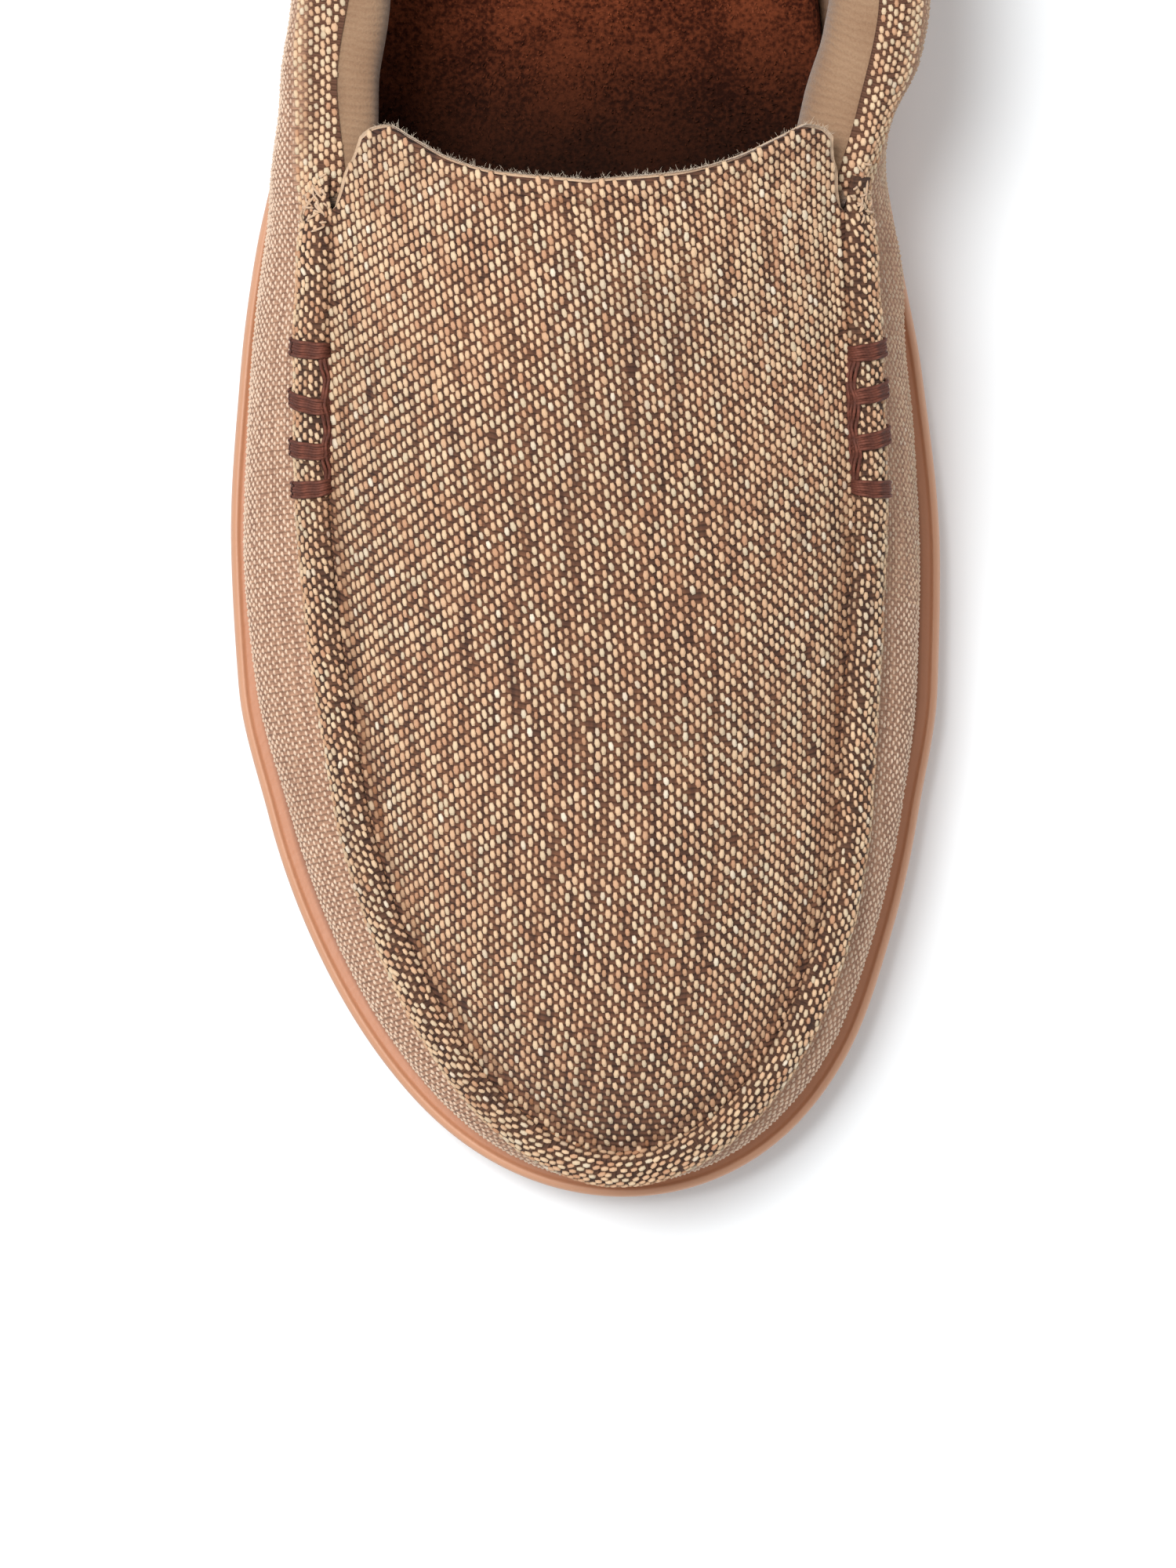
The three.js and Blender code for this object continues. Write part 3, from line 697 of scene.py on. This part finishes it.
def sideGrid():
    turns = np.linspace(0, 2, clothLook["around"] + 1)[:, None]
    levels = clothLevels()[None, :]
    outer = wallPoint(turns, levels) + wallNormal(turns, levels) * sideWave(turns, levels)[..., None]
    share = padShare(turns)
    f = np.linspace(0, 1, clothLook["fold"] + 1)[1:][None, :]
    at = lengthOn(seamEnds, turns) / shoe["length"]
    wide = np.where(sideOf(turns) < 0, *(readTable(foldWidth, side, at) for side in ("lateral", "medial")))
    t = (1 - (wide / shoe["collarPad"] * f) ** 2) ** (1 / wallShape["padRound"])
    inside = innerPoint(turns, mix(wallShape["belly"], 1, t)) + np.array([0, 0, 0.35])
    down = np.stack([0 * f, 0 * f, 3.0 * f], -1)
    tucked = wallPoint(turns, 1.0) + inwardAt(turns) * (1.6 * f)[..., None] - down
    return np.concatenate([outer, mix(tucked, inside, share[..., None])], 1)


def buildSideCloth():
    grid = sideGrid()
    side = Cloth(grid, clothLook["up"] - 1, clothLook["up"] // 2)
    piece = shellPiece("side_cloth", grid[:-1], clothLook["thick"], sideGround, side.uv[:-1],
                       wrapRows=True)
    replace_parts(piece, "upper")
    turns = np.linspace(0, 2, clothLook["around"] + 1)
    shares, pads = collarShare(turns), padShare(turns)
    levels = clothLevels()
    low, high = (np.array([np.interp(clothLook[key], levels, line[:clothLook["up"]]) for line in side.u])
                 for key in ("floatsFrom", "floatsTo"))
    high = np.where(shares > 0.05, -clothLook["band"], high)

    third = side.v[-1] / 3

    def wall(u, v):
        points, inside = side.at(u, v)
        inside &= (u > np.interp(v, side.v, low)) & (u < np.interp(v, side.v, high))
        # floats darker next to the sole and next to the top line; over the medial half, painted shade on the
        # side turned away from the key light
        edges = 0.35 * bell(u - np.interp(v, side.v, low), 1.2)
        edges = edges + 0.45 * bell(u - np.interp(v, side.v, high), 1.0)
        return points, inside, edges + 0.34 * ease((v - 1.6 * third) / third)

    def band(u, v):
        points, inside = side.at(u, v)
        inside &= (u > -clothLook["band"]) & (np.interp(v, side.v, pads) > 0.02)
        inside &= u < np.interp(v, side.v, side.u[:, -1]) - 0.3
        return points, inside, 0.0 * u
    # the medial side keeps less of the pale tint: painted shade on the side away from the key light
    for k, (name, pale) in enumerate((("weave_lateral", 0.95), ("weave_toe", 0.85), ("weave_medial", 0.45))):
        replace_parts(buildFloats(name, wall, (-70, 0), (k * third, (k + 1) * third), across=0.84, along=1.42,
                                halfAcross=0.42, halfAlong=0.67, high=0.26, corners=5, rings=1, seed=11,
                                deep=-0.1, streak=0.5, pale=pale), "upper")
    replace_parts(buildFloats("weave_collar", band, (-6, 8), (0, side.v[-1]), across=0.98, along=1.46,
                            halfAcross=0.47, halfAlong=0.68, high=0.36, seed=17, jitter=1.4,
                            deep=-0.08), "upper")


# Lining: the inside of the wall and pad, from under the cloth's fold down to the footbed
def buildLining():
    turns = np.linspace(0, 2, 421)[:, None]
    levels = (1 - (1 - np.linspace(0.03, 0.9975, 44)) ** 1.2)[None, :]
    inner = Cloth(innerPoint(turns, levels), 0, 20)
    piece = shellPiece("knit_lining", inner.points[:-1], 0.8, lining, inner.uv[:-1], wrapRows=True,
                       inside=True)
    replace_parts(piece, "upper")


# Plug: rows behind the notch take the ears' outline, rows in front run from seam to seam
plugLook = dict(ears=16, rows=120, columns=71, groove=0.7, grooveAt=3.9, hem=3.1, weftBow=0.00705,
                bowMiddle=8.35, closeFrom=185, closing=0.0022)
# how far the warp wanders to the medial side, in mm, at shares of the length
warpDrift = table("at drift", [
    [0.448, -1.5], [0.507, 0.0], [0.603, 2.4], [0.676, 3.9], [0.748, 4.85], [0.797, 4.9], [0.845, 4.4],
    [0.893, 3.6], [0.931, 2.6], [0.979, 0.9]])


def throatBack(across):
    # where the throat edge lies, as a share of the length, for a share of the ear's half width
    return shoe["throatAt"] - readTable(throatLine, "behind", across)


def earHalf(length):
    behind = shoe["notchAt"] - length / shoe["length"]
    return readTable(earLine, "half", behind) * halfWidth(seamPlan, seamEnds, length)


def plugGrid(grow=0.0):
    c = np.linspace(-1, 1, plugLook["columns"])
    c = (np.sign(c) * (1 - (1 - np.abs(c)) ** 1.3))[None, :]
    share = np.linspace(1, 0, plugLook["ears"] + 1)[:-1, None]
    back = throatBack(np.abs(c)) - grow / shoe["length"]
    earLength = mix(shoe["notchAt"], back, share) * shoe["length"]
    earX = middle(seamPlan, earLength) + c * (earHalf(earLength) + grow * ease(share * 4))
    turns = mix(turnAt(shoe["notchAt"] * shoe["length"]), 1, np.linspace(0, 1, plugLook["rows"]))[:, None]
    length = lengthOn(seamEnds, turns) + 0 * c
    x = middle(seamPlan, length) + c * halfWidth(seamPlan, seamEnds, length)
    return np.concatenate([earX, x]), np.concatenate([earLength, length])


def seamDistance(x, length):
    # distance in plan to the seam, from the half width and the slope of the outline
    half = halfWidth(seamPlan, seamEnds, length)
    slope = halfWidth(seamPlan, seamEnds, length + 0.5) - halfWidth(seamPlan, seamEnds, length - 0.5)
    return (half - np.abs(x - middle(seamPlan, length))) / np.sqrt(1 + slope**2)


def hemDistance(x, length):
    # how far a point lies in front of the throat edge
    half = np.maximum(halfWidth(seamPlan, seamEnds, length), 1)
    across = np.clip(np.abs(x - middle(seamPlan, length)) / half / 0.87, 0, 1)
    return length - throatBack(across) * shoe["length"]


def plugSurface(x, length):
    # bowed plug with a trough beside the roll, a stitched hem along the throat and hollows no foot fills
    inFront = ease((length - shoe["notchAt"] * shoe["length"] + 4) / 8)
    trough = bell(seamDistance(x, length) - plugLook["grooveAt"], 1.3) * inFront
    z = plugHeight(x, length) - plugLook["groove"] * trough
    hem = hemDistance(x, length) - plugLook["hem"]
    z = z - 0.30 * bell(hem, 0.7) + 0.25 * bell(hem + 1.8, 1.2)
    z = z - 0.5 * bell(length - 205, 22) * bell(x + 12, 16) + 0.4 * bell(length - 235, 20) * bell(x - 10, 14)
    z = z - 0.4 * bell(length - 165, 14) * bell(x - 20, 12)
    return place(x, length, z)


def weftShift(x, length):
    # rows of the weave bow towards the toe in the middle, and lie closer together near the throat
    closer = plugLook["closing"] * np.maximum(plugLook["closeFrom"] - length, 0) ** 2
    return plugLook["weftBow"] * (x - plugLook["bowMiddle"]) ** 2 - closer


def warpShift(length):
    return middle(seamPlan, length) - readTable(warpDrift, "drift", length / shoe["length"])


def plugArc(c, steep):
    # length of a parabola of that slope at its end, from its middle to c, over its half width
    return c * np.sqrt(1 + (steep * c) ** 2) / 2 + np.arcsinh(steep * c) / (2 * steep)


def plugWeave(x, length):
    half = np.maximum(halfWidth(seamPlan, seamEnds, length), 1e-3)
    steep = np.maximum(2 * bowShare(length), 0.01)
    u = half * plugArc((x - middle(seamPlan, length)) / half, steep) + warpShift(length)
    return np.stack([u, length + weftShift(x, length)], -1)


def plugAt(u, v):
    # place in plan of a point of the weave, by repeated correction of x and length
    x, length = u + 0.0, v + 0.0
    for k in range(18):
        length = np.clip(v - weftShift(x, length), 100, 283)
        half = halfWidth(seamPlan, seamEnds, length)
        steep = np.maximum(2 * bowShare(length), 0.01)
        goal = (u - warpShift(length)) / half
        c = np.clip(goal, -1.2, 1.2)
        for n in range(4):
            c = c - (plugArc(c, steep) - goal) / np.sqrt(1 + (steep * c) ** 2)
        x = middle(seamPlan, length) + c * half
    return x, length


def plugFloat(u, v):
    x, length = plugAt(u, v)
    aside = np.abs(x - middle(seamPlan, length))
    behind = shoe["notchAt"] - length / shoe["length"]
    wide = earHalf(length)
    back = throatBack(np.clip(aside / wide, 0, 1)) * shoe["length"]
    ears = (behind > 0) & (aside < wide - 0.15) & (length > back + 0.2)
    seam = seamDistance(x, length)
    front = (behind <= 0) & (seam > 2.2 - 1.0 * ease((length - 250) / 30)) & (length < 283.5)
    # floats painted darker in the trough beside the roll, as painted shade with some dirt, and darker along
    # the hem
    groove = 0.75 * bell(seam - plugLook["grooveAt"] + 0.7, 0.7) * ease((length - 165) / 40)
    hem = 0.25 * bell(hemDistance(x, length) - plugLook["hem"], 0.5)
    return plugSurface(x, length), ears | front, groove + hem


def buildPlug():
    x, length = plugGrid()
    piece = shellPiece("plug_cloth", plugSurface(x, length), 1.0, ground, plugWeave(x, length))
    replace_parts(piece, "upper")
    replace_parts(buildFloats("weave_plug", plugFloat, (-60, 62), (110, 300), seed=5), "upper")
    x, length = plugGrid(grow=0.55)
    under = plugSurface(x, length) - np.array([0, 0, 0.75])
    cloth = Cloth(under, 0, 35)
    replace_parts(shellPiece("plug_lining", under, 0.9, edging, cloth.uv), "upper")


# Seam roll: a round welt of cloth over the corner of side and plug, running on into the collar
rollLook = dict(count=520, around=20, behind=6, aside=0.4)


def rollFrame(turn):
    # corner, outward direction and the direction towards the plug, for each turn
    corner = wallPoint(turn, 1.0)
    along = unit(wallPoint(turn + 0.004, 0.97) - wallPoint(turn - 0.004, 0.97))
    outOfWall = unit(np.cross(along, unit(corner - wallPoint(turn, 0.97))))
    x, length = ringPlan(seamPlan, seamEnds, turn, shoe["rollWidth"] / 2)
    outOfPlug = unit(np.cross(along, unit(place(x, length, plugHeight(x, length)) - corner)))
    out = unit(outOfWall + outOfPlug)
    return corner, out, unit(np.cross(out, along))


def rollPoint(turn, angle, extra=0.0):
    # half-round above the cloth, shallow below it; angle 0 on the plug's side, pi on the wall's side;
    # low and narrow where it starts, and further out at the toe
    corner, out, side = rollFrame(turn)
    length = lengthOn(seamEnds, turn)
    begins = shoe["notchAt"] * shoe["length"] - rollLook["behind"]
    front = ease((length - begins) / (2 * rollLook["behind"]))
    high = mix(0.15, shoe["rollHeight"], front)
    aside = rollLook["aside"] + 0.9 * ease((length - 250) / 30)
    lumps = 0.12 * np.sin(length * 0.9 + 2 * np.sin(length * 0.23)) + 0.5 * bell(length - 143, 2.5)
    cos, sin = np.cos(angle), np.sin(angle)
    rise = np.where(sin > 0, (high + lumps + extra) * np.abs(sin) ** 0.8, 1.4 * sin)
    across = (shoe["rollWidth"] / 2 * mix(0.7, 1.03, front) + extra) * cos - aside
    return corner + out * rise[..., None] + side * across[..., None]


def buildRoll():
    start = turnAt(shoe["notchAt"] * shoe["length"] - rollLook["behind"])
    turns = np.linspace(start, 2 - start, rollLook["count"])[:, None]
    angles = np.linspace(0, 2 * np.pi, rollLook["around"] + 1)[None, :]
    ring = rollPoint(turns, angles)
    cloth = Cloth(ring, 0, 5)
    rows, columns = ring.shape[:2]
    ends = np.stack([ring[0, :-1].mean(0), ring[-1, :-1].mean(0)])
    j = np.arange(columns - 1)
    count = rows * columns
    fans = [np.stack([count + 0 * j, j, j + 1], -1),
            np.stack([count + 1 + 0 * j, count - columns + j + 1, count - columns + j], -1)]
    uv = np.concatenate([cloth.uv.reshape(-1, 2), cloth.uv[[0, -1], 0]])
    piece = newPiece("roll_cloth", np.concatenate([ring.reshape(-1, 3), ends]),
                     [gridFaces(rows, columns)] + fans, rollGround, uv)
    mergeCorners(piece)
    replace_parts(piece, "seam_roll")
    top = Cloth(rollPoint(turns, np.linspace(1.06, -0.06, 19)[None, :] * np.pi), 9, 9)

    def welt(u, v):
        points, inside = top.at(u, v)
        # floats painted darker down both flanks of the roll, as painted shade towards the groove and the wall
        return points, inside, 0.6 * ease((np.abs(u) - 3.0) / 1.4)
    weave = buildFloats("weave_roll", welt, (-6, 6), (0, top.v[-1]), across=0.92, along=1.60, halfAcross=0.38,
                        halfAlong=0.70, high=0.36, slant=0.24, seed=23, jitter=1.6)
    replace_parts(weave, "seam_roll")


# Threads: strands carried side by side along a path, as closed tubes
def tubeStrands(name, paths, radius, material, sides=8):
    # paths: strands x points x 3; each ring stands square to its path
    strands, count = paths.shape[:2]
    along = unit(np.gradient(paths, axis=1))
    helper = np.zeros_like(along)
    helper[..., 2] = 1
    helper[np.abs(along[..., 2]) > 0.9] = [1, 0, 0]
    a = unit(np.cross(along, helper))
    b = np.cross(along, a)
    t = np.linspace(0, 2 * np.pi, sides, endpoint=False)
    taper = np.ones(count)
    taper[[0, -1]] = 0.35
    ring = (np.cos(t)[None, None, :, None] * a[:, :, None] + np.sin(t)[None, None, :, None] * b[:, :, None])
    tube = paths[:, :, None] + ring * (radius * taper)[None, :, None, None]
    start = np.arange(strands)[:, None, None] * count * sides
    i = np.arange(count - 1)[None, :, None] * sides
    j = np.arange(sides)[None, None, :]
    after = (j + 1) % sides
    walls = np.stack([start + i + j, start + i + after, start + i + sides + after, start + i + sides + j], -1)
    first = start[:, 0] + np.arange(sides)[None, ::-1]
    last = start[:, 0] + (count - 1) * sides + np.arange(sides)[None, :]
    u = np.broadcast_to((t / (2 * np.pi))[None, None, :], tube.shape[:3])
    v = np.broadcast_to(arcLength(paths, 1)[:, :, None], tube.shape[:3])
    return newPiece(name, tube.reshape(-1, 3), [walls.reshape(-1, 4), first, last], material,
                    np.stack([u, v], -1))


# Whip stitches over the roll: length from the heel at the wall's side and at the plug's side
stitchLook = dict(strands=6, radius=0.30, spread=0.40, points=26, link=6)
whipStitches = {
    -1: [(160.9, 161.0), (168.0, 169.6), (175.6, 175.9), (182.4, 180.9)],
    1: [(161.0, 161.4), (167.0, 167.8), (173.8, 174.6), (182.6, 180.8)]}


def buildStitches():
    t = np.linspace(0, 1, stitchLook["points"])
    for side, rows in whipStitches.items():
        bars = []
        for outerAt, innerAt in rows:
            for k in range(stitchLook["strands"]):
                shift = (k - (stitchLook["strands"] - 1) / 2) * stitchLook["spread"]
                length = mix(outerAt, innerAt, t) + shift * (1 - 0.35 * np.abs(2 * t - 1) ** 3)
                angle = mix(1.08 * np.pi, -0.10 * np.pi, t)
                lift = 0.55 + 0.10 * np.cos(k * 2.4) - 0.8 * np.abs(2 * t - 1) ** 8
                bars.append(rollPoint(sideTurn(side, length), angle, lift))
        first, last = rows[0][1], rows[-1][1]
        for k in range(stitchLook["link"]):
            length = mix(first - 0.8, last + 0.8, t)
            angle = (0.10 - 0.05 * k + 0.03 * np.sin(length * 0.9 + 0.5 * k)) * np.pi
            ends = np.abs(2 * t - 1) ** 6
            bars.append(rollPoint(sideTurn(side, length), angle, 0.55 + 0.18 * np.sin(k * 2.2) - 0.9 * ends))
        name = "whip_stitches_lateral" if side < 0 else "whip_stitches_medial"
        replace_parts(tubeStrands(name, np.array(bars), stitchLook["radius"], thread), "seam_roll")


# Fuzz: short loose fibres standing out of the throat edge
fuzzLook = dict(count=900, radius=0.014, points=6, shortest=0.3, longest=1.2)


def buildFuzz():
    rng = np.random.default_rng(31)
    count = fuzzLook["count"]
    c = rng.uniform(-1, 1, count)
    back = throatBack(np.abs(c)) * shoe["length"] - 0.4
    root = plugSurface(middle(seamPlan, back) + c * earHalf(back), back) - np.array([0, 0, 0.5])
    way = np.stack([rng.normal(0, 0.7, count) + 0.5 * c, np.abs(rng.normal(0.8, 0.4, count)),
                    rng.normal(0.3, 0.4, count)], -1)
    bend = rng.normal(0, 0.45, (count, 3))
    t = np.linspace(0, 1, fuzzLook["points"])[None, :, None]
    long = mix(fuzzLook["shortest"], fuzzLook["longest"], rng.random(count) ** 3)[:, None, None]
    paths = root[:, None] + unit(way)[:, None] * t * long + bend[:, None] * t**2 * long * 0.4
    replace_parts(tubeStrands("throat_fuzz", paths, fuzzLook["radius"], fuzz, sides=4), "upper")


# Joins: loose yarn ends where the roll runs into the collar, wound over the start of the roll
joinLook = dict(count=20, radius=0.17, points=8, middle=139.8, spread=2.6)


def buildJoins():
    rng = np.random.default_rng(61)
    t = np.linspace(0, 1, joinLook["points"])
    paths = []
    for side in (-1, 1):
        for k in range(joinLook["count"]):
            length = joinLook["middle"] + rng.normal(0, joinLook["spread"]) + rng.normal(0, 1.2) * t
            angle = (rng.uniform(0.05, 0.75) + rng.uniform(0.10, 0.28) * t) * np.pi
            paths.append(rollPoint(sideTurn(side, length), angle, 0.25 + 0.3 * np.sin(np.pi * t)))
    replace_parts(tubeStrands("join_yarns", np.array(paths), joinLook["radius"], edging), "seam_roll")


# Footbed: padded insole with a dished top, and short pile standing on it
footbedLook = dict(around=300, columns=50, crown=2.1, flatUnder=36, tufts=16000,
                  tuftRadius=0.44, tuftHigh=0.75)


def buildFootbed():
    inset = shoe["rimWidth"] + 2 * shoe["gap"] + shoe["wall"]
    profile = table("inset up", [[3.0, 0.0], [1.0, 0.0], [0.2, 0.5], [0.0, 1.2], [0.0, 4.5], [0.15, 5.8],
                                 [0.7, 6.8], [1.6, 7.3], [2.6, 7.2]])
    turns = np.linspace(0, 2, footbedLook["around"], endpoint=False)[:, None]
    x, length = ringPlan(solePlan, soleEnds, turns, inset + profile["inset"][None, :])
    rings = place(x, length, soleTop(length) - shoe["recess"] + shoe["gap"] + profile["up"][None, :])
    under, top = slabCaps(rings, footbedLook["columns"])
    t = np.linspace(0, 1, footbedLook["columns"])[None, :]
    width = np.linalg.norm(top[:, 0] - top[:, -1], axis=-1)[:, None]
    top[..., 2] -= footbedLook["crown"] * (1 - (2 * t - 1) ** 4) * ease(width / footbedLook["flatUnder"])
    piece = slabPiece("footbed", rings, (under, top), plush)
    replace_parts(piece, "insole")
    buildPile(top)


def buildPile(top):
    # three-sided tufts on the footbed's top, brushed in drifting directions
    rng = np.random.default_rng(41)
    row = rng.uniform(0, top.shape[0] - 1.001, 4 * footbedLook["tufts"])
    column = rng.uniform(0, top.shape[1] - 1.001, len(row))
    i, j = row.astype(int), column.astype(int)
    width = np.linalg.norm(top[i, -1] - top[i, 0], axis=-1)
    width = width * np.linalg.norm(top[i + 1, 0] - top[i, 0], axis=-1)
    keep = np.flatnonzero(rng.random(len(row)) < width / width.max())[:footbedLook["tufts"]]
    i, j = i[keep], j[keep]
    a, b = (row[keep] - i)[:, None], (column[keep] - j)[:, None]
    root = mix(mix(top[i, j], top[i, j + 1], b), mix(top[i + 1, j], top[i + 1, j + 1], b), a)
    count = len(root)
    x, y = root[:, 0], root[:, 1]
    lean = np.stack([waves(x, y, 22, 51), waves(x, y, 26, 52), 0 * x], -1)
    tip = root + [0, 0, 1] * (footbedLook["tuftHigh"] * rng.uniform(0.7, 1.2, count))[:, None]
    tip = tip + lean * 0.4 + rng.normal(0, 0.25, (count, 3)) * [1, 1, 0]
    spin = rng.uniform(0, 2 * np.pi, count)[:, None] + np.arange(3)[None, :] * 2 * np.pi / 3
    ring = np.stack([np.cos(spin), np.sin(spin), 0 * spin - 1.2], -1) * footbedLook["tuftRadius"]
    points = np.concatenate([root[:, None] + ring, tip[:, None]], 1).reshape(-1, 3)
    start = np.arange(count)[:, None, None] * 4
    faces = start + np.array([[0, 1, 3], [1, 2, 3], [2, 0, 3], [0, 2, 1]])
    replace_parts(newPiece("footbed_pile", points, [faces.reshape(-1, 3)], pile), "insole")


buildSole()
print("sole ready")
buildSideCloth()
buildLining()
buildPlug()
print("upper ready")
buildRoll()
buildStitches()
buildFuzz()
buildJoins()
print("roll and stitches ready")
buildFootbed()
print("footbed ready")


# Floor, light and camera
def buildFloor():
    s = Shader("paper_floor", Roughness=0.9, Base_Color=(0.91, 0.95, 0.975, 1))
    mesh = bpy.data.meshes.new("floor")
    r = 4.0
    mesh.from_pydata([(-r, -r, 0), (r, -r, 0), (r, r, 0), (-r, r, 0)], [], [(0, 1, 2, 3)])
    mesh.materials.append(s.material)
    floor = bpy.data.objects.new("floor", mesh)
    bpy.context.scene.collection.objects.link(floor)


def areaLight(name, where, aim, size, power):
    light = bpy.data.lights.new(name, "AREA")
    light.shape, light.size, light.energy = "DISK", size, power
    lamp = bpy.data.objects.new(name, light)
    bpy.context.scene.collection.objects.link(lamp)
    lamp.location = where
    lamp.rotation_mode = "QUATERNION"
    lamp.rotation_quaternion = (Vector(aim) - Vector(where)).to_track_quat("-Z", "Y")


cameraLook = dict(distance=1.1, centre=(0.0004, -0.0812), focal=8954, imageHeight=2000)


def buildCamera():
    camera = bpy.data.cameras.new("camera")
    camera.sensor_fit, camera.sensor_width = "AUTO", 36
    camera.lens = cameraLook["focal"] / cameraLook["imageHeight"] * 36
    holder = bpy.data.objects.new("camera", camera)
    bpy.context.scene.collection.objects.link(holder)
    holder.location = (*cameraLook["centre"], cameraLook["distance"])
    bpy.context.scene.camera = holder


buildFloor()
areaLight("key", (-0.45, 0.24, 1.61), (0, -0.03, 0), 0.7, 25.5)
areaLight("top", (0.1, -0.1, 1.9), (0, -0.03, 0), 1.2, 4)
world = bpy.data.worlds.new("studio")
world.use_nodes = True
world.node_tree.nodes["Background"].inputs["Color"].default_value = (1, 1, 1, 1)
world.node_tree.nodes["Background"].inputs["Strength"].default_value = 0.475
bpy.context.scene.world = world
bpy.context.scene.view_settings.view_transform = "Standard"
buildCamera()
